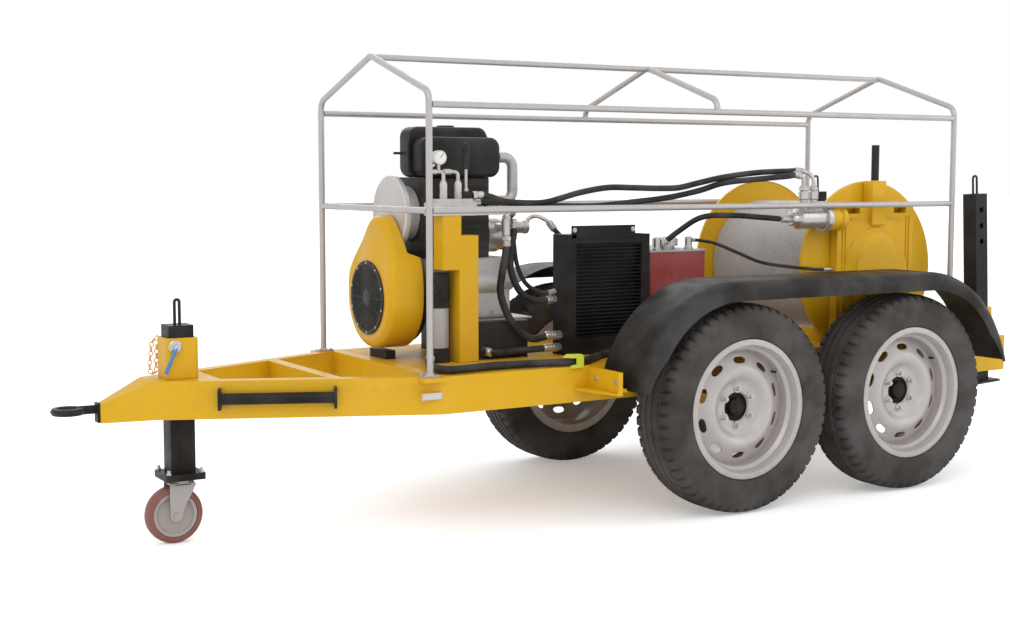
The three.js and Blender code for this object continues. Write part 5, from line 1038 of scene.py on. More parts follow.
def make_grille(ring_count, bolt_count):
    """Concentric wire rings with a hub plate and short radial bars, bolted round the rim."""
    x = -1372.5
    shells = []
    for radius in np.linspace(28, 107, ring_count):
        path = [(x, ENGINE_Y + u, FAN_Z + v) for u, v in around(96, radius, 0)]
        shells.append(tube(path, GRILLE_WIRE, 8, closed=True))
    for u, v in around(12, 1, 0):
        path = [(x, ENGINE_Y + r * u, FAN_Z + r * v) for r in (22, 66, 110)]
        shells.append(tube(path, GRILLE_WIRE, 8))
    rim = [(107, -3), (116, -3.5), (120, -2), (120.6, 2.2), (107, 2.2), (107, -3)]
    hub = [(0.5, -3.6), (20, -3.4), (26, -2), (28, 2), (0.5, 2)]
    shells += [turned([(r, x + d) for r, d in p], "x", FAN_AXIS, n) for p, n in ((rim, 96), (hub, 48))]
    heads = [
        rod("x", x - 3.8, x + 1, 4.2, (0, ENGINE_Y + u, FAN_Z + v), 12) for u, v in around(bolt_count, 113.5)
    ]
    make_piece(
        "fan_grille_rings", ("plastic", shells), ("steel", heads), flat=40, slot="black_plastic",
        replaces="fan_grille",
    )
    blade = block(-1345, -1342, ENGINE_Y + 20, ENGINE_Y + 104, FAN_Z - 18, FAN_Z + 18)
    blade = turned_about(blade, Matrix.Rotation(BLADE_PITCH, 3, "Y"), (-1343, ENGINE_Y, FAN_Z))
    blades = [turned_about(blade, Matrix.Rotation(k * TAU / BLADES, 3, "X"), FAN_AXIS) for k in range(BLADES)]
    blades.append(rod("x", -1350, -1256, 26, FAN_AXIS, 32))
    make_piece("cooling_fan", ("dark", blades), bevel=1.0, slot="black_casting")


def make_engine_block():
    """Crankcase with its backplate and starter, the cylinder block, and the grey disc in front of it."""
    crank = [
        prism("x", rounded_outline(-45, 285, 620.6, 818.6, 14), -1223, -932),
        prism("x", rounded_outline(-47, 287, 762, 768, 2), -1224, -931),
    ]
    for x0, x1, radius, chamfer in ((-1070, -960, 38, 3), (-962, -921, 30, 3), (-1000, -994, 40, 1)):
        crank.append(rod("x", x0, x1, radius, (0, -32, 740), 40, chamfer))
    make_piece(
        "crankcase_casting", ("cast", crank),
        ("steel", bolts([(-1190 + 48 * k, -45, 640) for k in range(6)], "y", -1, 6)),
        ("dark", [rod("x", -1249.5, -1224, 150, FAN_AXIS, 72, 4)]), bevel=2.5, replaces="crankcase",
    )
    axis = (0, ENGINE_Y, 962.0)
    disc = [(0.5, -1288), (112, -1290), (118, -1292), (124, -1288), (124, -1274), (118, -1270), (0.5, -1270)]
    neck = [(96, -1270.5), (96, -1246), (90, -1243), (90, -1224)]
    make_piece(
        "cylinder_block_casting",
        ("dark", [prism("x", rounded_outline(0.5, 239.5, 819, 1080, 5), -1222.5, -985)]),
        ("cast", [turned(disc, "x", axis, 96), spindle(neck, "x", axis, 96)]),
        ("dark", [block(-1215, -992, -4, 0.6, z, z + 5) for z in range(850, 1047, 28)]), bevel=1.5,
        replaces="cylinder_block",
    )


def pillow(x0, x1, z0, z1, near, far, corner, edge, steps=7):
    """A rounded rectangle carried along Y; quarter circles turn both end faces into the sides.

    At angle t the outline is drawn in by edge (1 - sin t), at edge (1 - cos t) from the end face.
    """
    rows = []
    for sense, end in ((1, near), (-1, far)):
        turn = []
        for t in np.linspace(0.0, math.pi / 2, steps):
            i, y = edge * (1 - math.sin(t)), end + sense * edge * (1 - math.cos(t))
            outline = rounded_outline(x0 + i, x1 - i, z0 + i, z1 - i, corner - i * 0.7, 8)
            turn.append([(x, y, z) for x, z in outline])
        rows += turn if sense > 0 else turn[::-1]
    return rings(np.array(rows))


def make_fuel_tank(corner, edge):
    """Two pressed half shells with the seam flange between them, and the strap lug."""
    near = pillow(-1240, -950, 1080.6, 1210, -20, 58, corner, edge)
    far = pillow(-1240, -950, 1080.6, 1245, 62, 150, corner, edge)
    make_piece("fuel_tank_shells", ("plastic", [near, far]), flat=50, replaces="fuel_tank")
    seam = prism("y", rounded_outline(-1247, -943, 1081, 1219, corner, 8), 57, 63)
    lug = prism("z", [(-1238, 126), (-1262, 132), (-1264, 138), (-1262, 144), (-1238, 146)], 1155, 1163)
    cap = rod("z", 1240, 1250, 30, (-1090, 105, 0), 32, 3)
    make_piece("fuel_tank_seam", ("plastic", [seam, lug, cap]), bevel=1.5, slot="black_paint")


def make_pipes_and_pump(elbow_steps):
    """Exhaust pipe with its collars, and the flanged hydraulic pump with its tail and port."""
    corners = [(-984.5, 20, 1003), (-883, 20, 1003), (-883, 20, 1146), (-939.5, 20, 1146)]
    shells = [tube(bent(corners, 34, elbow_steps), 17.5, 28)]
    for z0, z1 in ((1040, 1048), (1090, 1094)):
        collar = [(17, z0), (18.2, z0 + 1), (18.2, z1 - 1), (17, z1), (17, z0)]
        shells.append(turned(collar, "z", (-883, 20, 0), 28))
    make_piece("exhaust_pipe_bent", ("zinc", shells), flat=40, replaces="exhaust_pipe")
    body = [
        (0.5, -984.5), (66, -984.5), (66, -972), (58, -968), (58, -930), (52, -922), (52, -900), (46, -886),
        (0.5, -884.7),
    ]
    tail = [
        (0.5, -890), (24, -890), (24, -866), (20, -862), (20, -840), (22.5, -838), (22.5, -824), (0.5, -822),
    ]
    port = [(14, 30), (14, -52), (17, -54), (17, -66)]
    shells = [
        turned(body, "x", (0, 60, 890), 56), turned(tail, "x", (0, 27, 914), 40),
        spindle(port, "y", (-944, 0, 916), 24),
    ]
    shells += bolts([(-972, 60 + u, 890 + v) for u, v in around(4, 55)], "x", 1, 6)
    make_piece("hydraulic_pump_body", ("steel", shells), bevel=0.8, replaces="hydraulic_pump")


def make_engine_base():
    """Black box under the engine with the pale tray on it, and the filter column beside it."""
    box = [block(-1090, -895, -100, 285, 494.5, 614), block(-1335, -1300, 60, 180, 494.4, 521)]
    make_piece("engine_base_box", ("black", box), bevel=1.5, replaces="engine_base")
    tray = block(-1215, -850, -52, 285, 614.3, 619.8)
    make_piece("engine_tray", ("zinc", [tray]), bevel=1.0, slot="galvanised")
    grey, top, base = (
        spindle(profile, "z", (-1218.0, -86.0, 0), 40) for profile in (
            [(31, 541), (31, 668)], [(32.5, 668), (32.5, 776), (29, 779)],
            [(34, 494.6), (34, 538), (31, 541)],
        )
    )
    make_piece("filter_column_can", ("lid", [grey]), ("black", [top, base]), replaces="filter_column")


def make_valve_block(dial):
    """Machined valve block with its relief caps, elbows, pressure gauge and hand lever."""
    steel = [
        block(-1262, -1110, -137, -70, 960.4, 1001), block(-1250, -1122, -134, -73, 1001, 1013.2),
        block(-1186, -992, -120, -80, 960.4, 984.2),
    ]
    steel += [rod("z", 984, 990 if k else 996, 7, (-1092 + 22 * k, -100, 0), 20) for k in range(5)]
    for x in (-1208.0, -1156.0):
        steel += [
            spindle([(12, 1013), (12, 1060), (9, 1068), (6.5, 1072)], "z", (x, -100, 0), 28),
            prism("z", hexagon(13.5, (x, -100)), 1016, 1028),
            tube(bent([(x, -100, 1068), (x, -100, 1098), (x - 28, -100, 1098)], 13, 8), 6, 16),
            rod("x", x - 52, x - 26, 9, (0, -100, 1098), 20),
        ]
    steel.append(tube(bent([(-1262, -100, 1098), (-1272, -100, 1098), (-1240, -100, 1120)], 4, 4), 4.5, 12))
    gauge = (-1225, 0, 1142)
    steel.append(spindle([(dial - 3, -112), (dial, -110.5), (dial, -90), (dial - 6, -86)], "y", gauge, 48))
    glass = turned([(0.5, -112.6), (dial - 4, -112.5), (dial - 4, -110), (0.5, -110)], "y", gauge, 48)
    needle = tube([(-1225, -112.9, 1142), (-1219, -113, 1150), (-1213, -112.9, 1157)], 0.8, 8)
    make_piece(
        "valve_block_machined", ("steel", steel), ("glass", [glass]), ("plastic", [needle]),
        ("steel", [rod("z", 1098, 1121, 5, (-1225, -100, 0), 16)]), bevel=0.8, replaces="valve_block",
    )
    axis = (-1127.0, -100.0, 0)
    boot = [
        (0.5, 1013.5), (19, 1013.5), (18.5, 1018), (15.5, 1020), (16.5, 1024), (13, 1027), (13.5, 1031),
        (9, 1035), (0.5, 1036),
    ]
    make_piece("lever_boot", ("plastic", [turned(boot, "z", axis, 32)]), slot="black_plastic")
    grip = [(0.5, 1106), (7, 1106), (9, 1112), (11, 1150), (11.5, 1172), (9.5, 1184), (5, 1189), (0.5, 1190)]
    make_piece(
        "control_lever_grip", ("steel", [rod("z", 1034, 1112, 4.8, axis, 20)]),
        ("plastic", [turned(grip, "z", axis, 32)]), ("steel", [rod("z", 1036, 1046, 8, axis, 24)]),
        replaces="control_lever",
    )


# Cooler, tank, drum and its drive

# Place of the tank's filler, and the ridges round its cap.
FILLER, KNURLS = (-300, -50), 36

def make_cooler(fins):
    """Finned core between two posts, with headers, the top bracket and its screws."""
    x0, x1, near, far, low, high = -782.0, -451.0, -166.0, -75.0, 494.5, 893.0
    in0, in1 = x0 + 34, x1 - 34
    shells = [
        block(x0, in0, near, far, low, high), block(in1, x1, near, far, low, high - 2),
        block(in0, in1, near + 2, far, low, 552), block(in0, in1, near + 2, far, 862, high),
        block(in0, in1, near + 22, far - 12, 552, 862),
    ]
    for z in np.linspace(556, 858, fins):
        for y0, y1 in ((near + 5, near + 22.5), (far - 12.5, far - 3)):
            shells.append(block(in0, in1, y0, y1, z - 1.6, z + 1.6))
    make_piece("oil_cooler_core", ("black", shells), bevel=0.6, replaces="oil_cooler")
    screws = bolts([(-756, near, 908), (-522, near, 908)], "y", -1, 5.5)
    make_piece(
        "cooler_bracket", ("black", [block(-766, -512, near, near + 5, 880, 922)]), ("steel", screws),
        bevel=0.8, slot="black_casting",
    )


def make_tank():
    """Red tank with rounded corners, its lid with screws, two ports and the filler."""
    x0, x1, y0, y1, top = -445.0, -200.0, -155.0, 185.0, 831
    body = prism("z", rounded_outline(x0, x1, y0, y1, 12, 6), 494.5, 826)
    lid = prism("z", rounded_outline(x0 - 5, x1 + 5, y0 - 5, y1 + 5, 14, 6), 826, top)
    rows, columns = (x0 + 14, x1 - 14), (y0 + 12, y1 - 12)
    steel = bolts([
        (x, y, top) for x in np.linspace(*rows, 4) for y in np.linspace(*columns, 5)
        if x in rows or y in columns
    ], "z", 1, 4)
    port = [(16, 831), (16, 838), (13, 840), (13, 872), (10, 875)]
    steel += [spindle(port, "z", (x, y, 0), 28) for x, y in ((-396.0, -131.2), (-244.1, -110.8))]
    level = [(14, 640), (14, 644), (10, 645), (10, 700), (14, 701), (14, 705)]
    x, y = FILLER
    steel += [
        spindle([(34, 831), (34, 841)], "z", (x, y, 0), 40), spindle(level, "z", (x0, -60, 0), 20),
    ]
    make_piece(
        "hydraulic_tank_welded", ("red", [body]), ("lid", [lid]), ("steel", steel), bevel=1.2,
        replaces="hydraulic_tank",
    )
    a = np.arange(KNURLS * 4) * TAU / (KNURLS * 4)
    wave = 45 - 1.3 * (np.arange(KNURLS * 4) % 4 < 2)
    cap = prism("z", np.stack([x + wave * np.cos(a), y + wave * np.sin(a)], axis=1), 841.5, 866)
    dome = turned([(0.5, 866), (42, 866), (40, 870), (34, 873), (0.5, 873.2)], "z", (x, y, 0), 48)
    make_piece("filler_cap_knurled", ("steel", [cap, dome]), bevel=0.4, replaces="filler_cap")


DRUM_CENTRE = (424.0, 0.0, 752.0)
# The rope's winding: its half width, the rope's radius and sides, the radius of its helix.
ROPE_HALF, ROPE_RADIUS, ROPE_SIDES, HELIX = 283.5, 4.6, 8, 233.7


def make_drum(turns, steps, holes):
    """Flanges on a core, and the rope wound on it as a helix: y = pitch times the turn number."""
    centre, sides = np.array(DRUM_CENTRE), (NEAR, FAR)
    plate = [(34, 300), (64, 300), (98, 300), (172, 300), (210, 300), (306, 300), (311, 299), (314, 296)]
    points, faces = pierced_disc(plate, 12.0, holes, 98, 172, 0.28, 36.0, 18)
    shells = [outward(points * np.array([1, side, 1]) + centre, faces) for side in sides]
    shells.append(turned([(202, -288), (212, -288), (212, 288), (202, 288), (202, -288)], "y", centre, 96))
    hub = [(32, 270), (64, 270), (64, 289), (32, 289), (32, 270)]
    shells += [turned([(r, side * y) for r, y in hub], "y", centre, 48) for side in sides]
    make_piece("drum_welded", ("yellow", shells), replaces="drum")
    count = turns * steps
    angle = np.arange(count + 1) * TAU / steps
    y = -ROPE_HALF + 2 * ROPE_HALF * np.arange(count + 1) / count
    line = np.stack([HELIX * np.sin(angle), y, HELIX * np.cos(angle)], axis=-1) + centre
    out = np.stack([np.sin(angle), 0 * angle, np.cos(angle)], axis=-1)
    turn = (np.arange(ROPE_SIDES) * TAU / ROPE_SIDES)[None, :, None]
    ring = np.cos(turn) * out[:, None] + np.sin(turn) * np.array([0.0, 1.0, 0.0])
    rope = rings(line[:, None] + ROPE_RADIUS * ring)
    under = [(212.4, -286), (231.5, -286), (231.5, 286), (212.4, 286), (212.4, -286)]
    shells = [rope, turned(under, "y", centre, 96)]
    mesh = make_piece("rope_layers", ("rope", shells), flat=60, replaces="rope_winding").data
    loops = np.zeros(len(mesh.loops), int)
    mesh.loops.foreach_get("vertex_index", loops)
    number = loops // ROPE_SIDES
    along = np.where(number <= count, number, 0) * TAU * HELIX * MM / steps / 0.03
    lap = np.where(number <= count, loops % ROPE_SIDES, 0) / ROPE_SIDES
    lay = mesh.uv_layers.new(name="lay")
    lay.data.foreach_set("uv", np.stack([along, lap], axis=1).astype(np.float32).ravel())


def make_gearbox():
    """Ribbed gearbox panel with its dished cover, lifting slots, post and stop bar."""
    softened("gearbox_housing", 2.0, "yellow")
    y = -338.0
    cover = [
        (0.5, 13.5), (12, 13.5), (14, 11.5), (43, 11.5), (45, 9), (49, 9), (51, 13.5), (80, 13), (90, 9),
        (97, 3), (98, -1), (0.5, -1),
    ]
    shells = [turned([(r, y - rise) for r, rise in cover], "y", (427, 0, 793), 96)]
    shells += [block(x, x + 5, y - 4, y + 1, 560, 940) for x in (262, 276, 572, 586)]
    shells += [block(300, 548, y - 3, y + 1, z, z + 6) for z in (930, 610)]
    make_piece("gearbox_cover", ("yellow", shells), bevel=1.2, slot="yellow_paint")
    bar = rod("z", 1067.2, 1195, 13.7, (424, -328, 0), 36, 2)
    make_piece("stop_bar", ("black", [bar]), slot="black_paint")


MOTOR_Y, MOTOR_Z = -350.0, 938.0


def make_drum_motor():
    """Hydraulic motor: end cap, ribbed body, flange, the yellow coupling housing and two ports."""
    axis = (0, MOTOR_Y, MOTOR_Z)
    body = [
        (0.5, 8), (20, 8), (24, 11), (24, 32), (30, 36), (36, 40), (36, 118), (34, 120), (34, 124), (36, 126),
        (36, 148), (46, 149), (47, 152), (47, 170), (45, 173), (0.5, 173),
    ]
    coupling = [(42, 173), (44, 176), (44, 204), (38, 210), (38, 218), (44, 222), (44, 238.5)]
    port = [
        (0.5, 960), (17, 962), (17, 984), (14, 988), (14, 1002), (17, 1006), (17, 1030), (12, 1036),
        (12, 1052), (0.5, 1052),
    ]
    ports = []
    for x in (66, 112):
        ports += [turned(port, "z", (x, MOTOR_Y, 0), 32), prism("z", hexagon(16, (x, MOTOR_Y)), 1036, 1047)]
    ports += bolts([(150, MOTOR_Y + u, MOTOR_Z + v) for u, v in around(4, 39)], "x", -1, 5)
    make_piece(
        "drum_motor_body", ("steel", [turned(body, "x", axis, 64)]),
        ("yellow", [spindle(coupling, "x", axis, 64)]), ("steel", ports), bevel=0.8, replaces="drum_motor",
    )


# Plates, castings and boxes that keep the shape of the frame's nodes

ROUNDED_NODES = {
    "drawbar_frame": (3.0, "yellow"), "deck_plate": (1.0, "deck"), "rear_beam": (3.0, "yellow"),
    "axle_front": (3.0, "yellow"), "axle_rear": (3.0, "yellow"), "rear_leg_near": (2.0, "black"),
    "rear_leg_far": (2.0, "black"), "valve_stand": (2.0, "yellow"), "drum_bearing_stand": (1.5, "yellow"),
    "tow_eye": (1.5, "black"), "side_bar": (1.5, "black"), "rear_lock_lever_near": (1.0, "blue"),
    "rear_lock_lever_far": (1.0, "blue"),
}

# Where the frame's solid mudguard arms were: X, distance from the middle plane, Z.
ARM_SPACE = ((-935.0, -778.0), (401.5, 700.0), (415.0, 495.0))


def round_edges(width_share, segments):
    """The nodes of the table above, each with its own edge width scaled by the share."""
    for name, (width, finish) in ROUNDED_NODES.items():
        space = ARM_SPACE if name == "drawbar_frame" else None
        softened(name, width * width_share, finish, segments, space)
    for name, side in (("near", NEAR), ("far", FAR)):
        make_arm("mudguard_arm_" + name, side)
    plates = [block(-1444, -1378, -401.6, -399.9, 429, 449), block(-1440, -1382, -402.2, -401.5, 433, 445)]
    make_piece("blank_plates", ("plate", plates), bevel=0.3, slot="bare_steel")


def make_arm(name, side):
    """A mudguard's front arm: bolted web, end flange, tapering foot flange and the tongue behind."""
    root, tip, front, back, low, high = side * 400, side * 578, -860, -852, 420, 492
    shells = [
        block(front, back, *sorted((root, tip)), low, high),
        block(front - 8, back, *sorted((side * 574, side * 579)), low, high),
        prism("z", [(-912, root), (back - 1, root), (back - 1, tip), (-867, tip)], low, low + 7),
        block(back - 0.5, -806, *sorted((side * 470, side * 540)), 424, 434),
    ]
    heads = bolts([(front, side * 446, 460), (front, side * 552, 460)], "x", -1, 6.5)
    make_piece(name, ("yellow", shells), ("steel", heads), bevel=1.5, slot="yellow_paint")


# Jack and caster

JACK_X = -2046.0
# Half widths of the jack's sleeve, leg, cap and foot plate, and the reach of the plate's bolts.
SLEEVE_HALF, LEG_HALF, CAP_HALF, PLATE_HALF, PLATE_BOLTS = 49.3, 37.5, 38.0, 60.0, 49.0
CASTER_AXLE = (-2068.0, 0.0, 86.0)
LINK_WIRE, LINK_PITCH = 1.7, 13.4


def square_tube(x, half, inner, corner, z0, z1):
    """A square tube about (x, 0): rounded outside, with the inner half width given, or solid if that is 0."""
    levels = [(z0, half, corner), (z1, half, corner)]
    if inner:
        levels += [(z1, inner, 2.0), (z0, inner, 2.0)]
    grid = [[(u, v, z) for u, v in rounded_outline(x - h, x + h, -h, h, r, 6)] for z, h, r in levels]
    return rings(np.array(grid), closed=bool(inner))


def make_clamp():
    """The jack's clamp screw: a stepped steel boss on the sleeve, and a painted lever through it."""
    x, z = -2070.0, 590.0
    steps = [(0.5, 0.3), (20, 0.3), (20, 5), (16.5, 7), (16.5, 10), (9, 12), (9, 24), (0.5, 25)]
    boss = turned([(r, NEAR * (SLEEVE_HALF + d)) for r, d in steps], "y", (x, 0, z), 40)
    arm = [(0, 0), (-12, -24), (-24, -50), (-35.5, -76)]
    path = smooth_path([(x + u, NEAR * (SLEEVE_HALF + 20), z + w) for u, w in arm], 5)
    lever = tube(path, np.linspace(5.0, 6.0, len(path)), 16)
    make_piece("jack_lock_lever_forged", ("steel", [boss]), ("blue", [lever]), replaces="jack_lock_lever")


def make_chain():
    """The jack's chain: round links a pitch apart, each turned a quarter against the one before."""
    route = [
        (-2090, 607), (-2104, 597), (-2109, 566), (-2113, 534), (-2113, 512), (-2105, 503), (-2096, 506),
        (-2094, 530), (-2092, 560), (-2092, 590),
    ]
    path = smooth_path([(x, 56, z) for x, z in route], 1.5)
    along = np.concatenate([[0], np.linalg.norm(np.diff(path, axis=0), axis=1).cumsum()])
    a = (np.arange(20) * TAU / 20)[:, None]
    long, wide = LINK_PITCH * 0.56 * np.cos(a), LINK_PITCH * 0.46 * np.sin(a)
    shells = []
    for k, at in enumerate(np.arange(0, along[-1], LINK_PITCH)):
        centre, ahead = (np.array([np.interp(s, along, path[:, i]) for i in range(3)]) for s in (at, at + 2))
        ahead = (ahead - centre) / max(np.linalg.norm(ahead - centre), 1e-6)
        aside = np.cross(ahead, (0, 1, 0)) if k % 2 == 0 else np.array([0.0, 1.0, 0.0])
        shells.append(tube(centre + long * ahead + wide * aside, LINK_WIRE, 8, closed=True))
    make_piece("jack_chain", ("chain", shells), flat=60, slot="galvanised")


def make_jack(corner, wire):
    """Jack sleeve, leg with its cap, handle and bolted flange, the clamp and the hanging chain."""
    x = JACK_X
    sleeve = square_tube(x, SLEEVE_HALF, CAP_HALF + 0.3, corner, 494.4, 614.4)
    make_piece("jack_sleeve_rounded", ("yellow", [sleeve]), bevel=1.2, replaces="jack_sleeve")
    handle = [(x - 7.4, 0, 646), (x - 7.4, 0, 723.5), (x + 7.4, 0, 723.5), (x + 7.4, 0, 646)]
    leg = [
        square_tube(x, LEG_HALF, LEG_HALF - 6, 6, 207, 616), square_tube(x, CAP_HALF, 0, 5, 614.7, 650),
        square_tube(x, PLATE_HALF, 12, 6, 203.5, 213), square_tube(x, PLATE_HALF, 12, 6, 193.3, 203),
        tube(bent(handle, 7.3, 8), wire, 14),
    ]
    screws = []
    for u in (x - PLATE_BOLTS, x + PLATE_BOLTS):
        for v in (-PLATE_BOLTS, PLATE_BOLTS):
            screws += [rod("z", 212.8, 227, 5, (u, v, 0), 16), prism("z", hexagon(8, (u, v)), 213, 219)]
    make_piece("jack_leg_built", ("black", leg), ("steel", screws), bevel=0.8, replaces="jack_leg")
    make_clamp()
    make_chain()


def make_caster(steps):
    """Swivel fork with rounded cheeks, the pale wheel core and the red tread."""
    x, _, z = CASTER_AXLE
    cheek = [(-2086, 178), (-2086.5, 140), (-2085.5, z)]
    for a in np.linspace(math.pi * 1.05, math.pi * 1.92, 12):
        cheek.append((x + 17.5 * math.cos(a), z + 17.5 * math.sin(a)))
    cheek += [(-2049, 96), (-2036, 124), (-2018, 156), (-2008, 178)]
    nut = hexagon(9.5, (x, z))
    shells = [
        prism("z", rounded_outline(-2083, -2009, -31, 31, 12), 175.6, 181.7),
        rod("z", 181, 192.7, 34, (JACK_X, 0, 0), 48, 2), prism("y", cheek, -31, -27),
        prism("y", cheek, 27, 31), rod("y", -37, 37, 6, CASTER_AXLE, 20), prism("y", nut, -36, -31),
        prism("y", nut, 31, 36),
    ]
    make_piece("caster_fork_pressed", ("fork", shells), bevel=2.0, replaces="caster_fork")
    half = [
        (6.4, 26), (17, 26), (18.5, 24.5), (18.5, 11), (24, 8), (50, 8), (55, 12), (57, 18), (60, 19),
        (66, 19), (67, 17),
    ]
    hub = turned(mirrored(half), "y", CASTER_AXLE, steps)
    make_piece("caster_hub_moulded", ("caster_core", [hub]), flat=30, replaces="caster_hub")
    half = [(67.4, 22.5), (72, 23), (78, 22), (82.5, 18.5), (85.3, 12), (86, 4)]
    tread = turned(mirrored(half), "y", CASTER_AXLE, steps)
    make_piece("caster_tyre_moulded", ("caster", [tread]), flat=50, replaces="caster_tyre")


def mirrored(half):
    """A closed profile from its half on one side of y = 0."""
    profile = [(r, -y) for r, y in half] + half[::-1]
    return profile + profile[:1]


# Panel settings and operators

def millimetres(name, description, default, high):
    return bpy.props.FloatProperty(
        name=name, description=description, default=default * MM, min=0.0, max=high * MM, unit="LENGTH",
    )


def whole(name, description, default, low, high):
    return bpy.props.IntProperty(name=name, description=description, default=default, min=low, max=high)


def number(name, description, default, low, high):
    return bpy.props.FloatProperty(name=name, description=description, default=default, min=low, max=high)


class StageSettings(bpy.types.PropertyGroup):
    floor_color: bpy.props.FloatVectorProperty(
        name="Floor colour", description="Colour of the floor", subtype="COLOR", size=4,
        default=(1.0, 1.0, 1.0, 1), min=0, max=1,
    )
    room_light: number("Room light", "Brightness of the surround as a light", 1.04, 0, 5)


class WheelSettings(bpy.types.PropertyGroup):
    slots: whole("Holes", "Holes in each wheel disc", 10, 4, 16)
    lugs: whole("Shoulder lugs", "Lateral cuts in each shoulder", 56, 20, 70)
    groove: millimetres("Groove depth", "Depth of the grooves round the tread", 8.0, 10.0)
    lug_cut: millimetres("Shoulder cut", "Depth of the lateral cuts", 8.5, 10.0)


class MudguardSettings(bpy.types.PropertyGroup):
    sheet: millimetres("Sheet", "Thickness of the sheet", 4.0, 8.0)
    shoulder: millimetres("Shoulder radius", "Radius between the top and the skirt", 44.0, 55.0)
    steps: whole("Arc steps", "Steps along each end arc", 28, 8, 60)


class CanopySettings(bpy.types.PropertyGroup):
    bend_steps: whole("Bend steps", "Steps in each tube bend", 10, 3, 30)
    sides: whole("Sides", "Sides of the tubes", 20, 8, 40)


class HoseSettings(bpy.types.PropertyGroup):
    sides: whole("Sides", "Sides of the hoses", 18, 8, 40)
    swell: number("End size", "Size of the metal ends as a share of the hose", 0.94, 0.8, 1.1)


class EdgeSettings(bpy.types.PropertyGroup):
    share: number("Edge width", "Scale of every edge rounding", 1.0, 0.1, 2)
    segments: whole("Segments", "Steps across a rounded edge", 2, 1, 5)


class JackSettings(bpy.types.PropertyGroup):
    corner: millimetres("Sleeve corners", "Corner radius of the jack sleeve", 15.0, 20.0)
    wire: millimetres("Handle wire", "Radius of the jack handle's wire", 4.6, 7.0)
    steps: whole("Caster steps", "Steps round the caster wheel", 64, 16, 96)


class EngineSettings(bpy.types.PropertyGroup):
    round_over: millimetres("Shroud rounding", "Radius of the fan shroud's front edge", 26.0, 60.0)
    grille_rings: whole("Grille rings", "Rings of the fan grille", 13, 3, 20)
    grille_bolts: whole("Grille bolts", "Bolts round the fan grille", 10, 4, 16)
    tank_corner: millimetres("Tank corners", "Corner radius of the fuel tank", 34.0, 60.0)
    tank_edge: millimetres("Tank edges", "Rounding of the fuel tank's end faces", 14.0, 25.0)


class ValveSettings(bpy.types.PropertyGroup):
    dial: millimetres("Dial radius", "Radius of the pressure gauge", 23.0, 30.0)


class CoolerSettings(bpy.types.PropertyGroup):
    fins: whole("Fins", "Fins on each face of the cooler", 26, 6, 60)


class DrumSettings(bpy.types.PropertyGroup):
    turns: whole("Rope turns", "Turns of rope across the drum", 62, 10, 80)
    steps: whole("Steps a turn", "Steps in each turn of rope", 64, 12, 80)
    holes: whole("Flange holes", "Holes in each flange", 4, 3, 8)


class PULLER_OT_stage(bpy.types.Operator):
    """Make the floor, the surround, the studio lights and the camera"""
    bl_idname = "puller.stage"
    bl_label = "Stage"

    def execute(self, context):
        settings = context.scene.puller_stage
        make_camera()
        make_stage(tuple(settings.floor_color), settings.room_light)
        return {"FINISHED"}


class PULLER_OT_wheels(bpy.types.Operator):
    """Make the four wheels"""
    bl_idname = "puller.wheels"
    bl_label = "Wheels"

    def execute(self, context):
        settings = context.scene.puller_wheels
        make_wheels(settings.slots, settings.groove / MM, settings.lug_cut / MM, settings.lugs)
        return {"FINISHED"}


class PULLER_OT_mudguards(bpy.types.Operator):
    """Make the two mudguards"""
    bl_idname = "puller.mudguards"
    bl_label = "Mudguards"

    def execute(self, context):
        settings = context.scene.puller_mudguards
        make_mudguards(settings.sheet / MM, settings.shoulder / MM, settings.steps)
        return {"FINISHED"}


class PULLER_OT_canopy(bpy.types.Operator):
    """Make the canopy frame"""
    bl_idname = "puller.canopy"
    bl_label = "Canopy frame"

    def execute(self, context):
        settings = context.scene.puller_canopy
        make_canopy(settings.bend_steps, settings.sides)
        return {"FINISHED"}


class PULLER_OT_hoses(bpy.types.Operator):
    """Make the hoses and their crimped ends"""
    bl_idname = "puller.hoses"
    bl_label = "Hoses"

    def execute(self, context):
        settings = context.scene.puller_hoses
        make_hoses(settings.sides, settings.swell)
        return {"FINISHED"}


class PULLER_OT_edges(bpy.types.Operator):
    """Round the edges of the plates, castings and boxes"""
    bl_idname = "puller.edges"
    bl_label = "Plates and castings"

    def execute(self, context):
        settings = context.scene.puller_edges
        round_edges(settings.share, settings.segments)
        return {"FINISHED"}


class PULLER_OT_jack(bpy.types.Operator):
    """Make the jack, its caster, its clamp and the chain"""
    bl_idname = "puller.jack"
    bl_label = "Jack and caster"

    def execute(self, context):
        settings = context.scene.puller_jack
        make_jack(settings.corner / MM, settings.wire / MM)
        make_caster(settings.steps)
        return {"FINISHED"}


class PULLER_OT_engine(bpy.types.Operator):
    """Make the engine: shroud, grille, block, fuel tank, pipes, pump and base"""
    bl_idname = "puller.engine"
    bl_label = "Engine"

    def execute(self, context):
        settings = context.scene.puller_engine
        make_fan_housing(settings.round_over / MM, 4.0)
        make_grille(settings.grille_rings, settings.grille_bolts)
        make_engine_block()
        make_fuel_tank(settings.tank_corner / MM, settings.tank_edge / MM)
        make_pipes_and_pump(10)
        make_engine_base()
        return {"FINISHED"}


class PULLER_OT_valves(bpy.types.Operator):
    """Make the valve block, gauge and hand lever"""
    bl_idname = "puller.valves"
    bl_label = "Valve block"

    def execute(self, context):
        make_valve_block(context.scene.puller_valves.dial / MM)
        return {"FINISHED"}


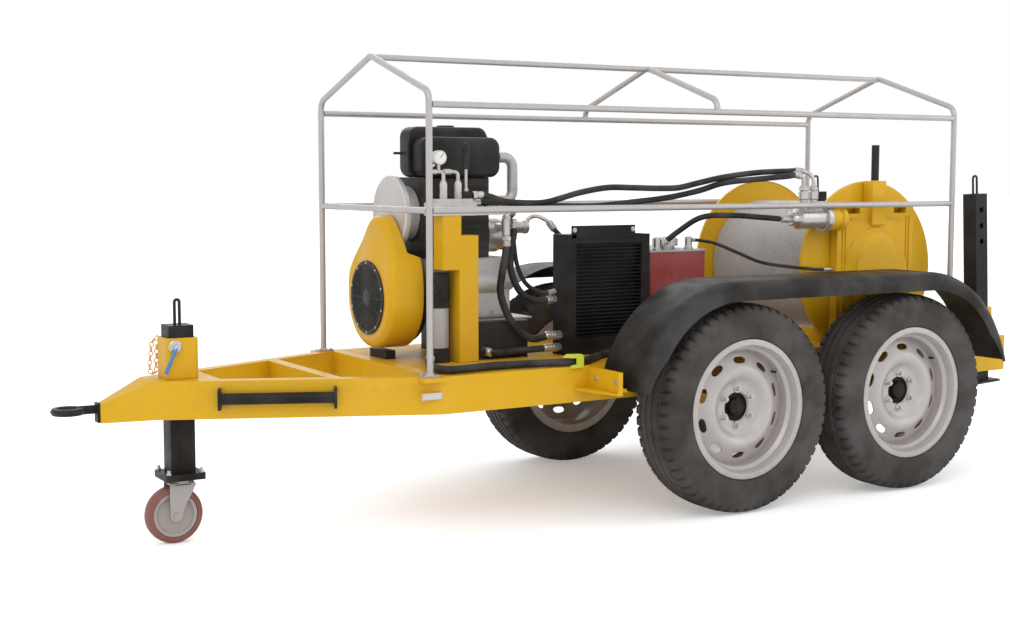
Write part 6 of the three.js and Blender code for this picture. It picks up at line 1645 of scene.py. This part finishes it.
class PULLER_OT_cooler(bpy.types.Operator):
    """Make the oil cooler and the hydraulic tank"""
    bl_idname = "puller.cooler"
    bl_label = "Cooler and tank"

    def execute(self, context):
        make_cooler(context.scene.puller_cooler.fins)
        make_tank()
        return {"FINISHED"}


class PULLER_OT_drum(bpy.types.Operator):
    """Make the drum, its rope, the gearbox and the motor"""
    bl_idname = "puller.drum"
    bl_label = "Drum"

    def execute(self, context):
        settings = context.scene.puller_drum
        make_drum(settings.turns, settings.steps, settings.holes)
        make_gearbox()
        make_drum_motor()
        return {"FINISHED"}


GROUPS = [
    ("puller_stage", StageSettings, PULLER_OT_stage),
    ("puller_hoses", HoseSettings, PULLER_OT_hoses),
    ("puller_edges", EdgeSettings, PULLER_OT_edges),
    ("puller_jack", JackSettings, PULLER_OT_jack),
    ("puller_wheels", WheelSettings, PULLER_OT_wheels),
    ("puller_mudguards", MudguardSettings, PULLER_OT_mudguards),
    ("puller_canopy", CanopySettings, PULLER_OT_canopy),
    ("puller_engine", EngineSettings, PULLER_OT_engine),
    ("puller_valves", ValveSettings, PULLER_OT_valves),
    ("puller_cooler", CoolerSettings, PULLER_OT_cooler),
    ("puller_drum", DrumSettings, PULLER_OT_drum),
]


class PULLER_PT_panel(bpy.types.Panel):
    """Every group of pieces with its sizes"""
    bl_label = "Cable puller"
    bl_space_type = "VIEW_3D"
    bl_region_type = "UI"
    bl_category = "Cable puller"

    def draw(self, context):
        for name, settings, operator in GROUPS:
            box = self.layout.box()
            box.operator(operator.bl_idname)
            for key in settings.__annotations__:
                box.prop(getattr(context.scene, name), key)


def register():
    for name, settings, operator in GROUPS:
        bpy.utils.register_class(settings)
        bpy.utils.register_class(operator)
        setattr(bpy.types.Scene, name, bpy.props.PointerProperty(type=settings))
    bpy.utils.register_class(PULLER_PT_panel)


def unregister():
    bpy.utils.unregister_class(PULLER_PT_panel)
    for name, settings, operator in reversed(GROUPS):
        delattr(bpy.types.Scene, name)
        bpy.utils.unregister_class(operator)
        bpy.utils.unregister_class(settings)


def main():
    register()
    for _, _, operator in GROUPS:
        group, name = operator.bl_idname.split(".")
        getattr(getattr(bpy.ops, group), name)()


if __name__ == "__main__":
    main()
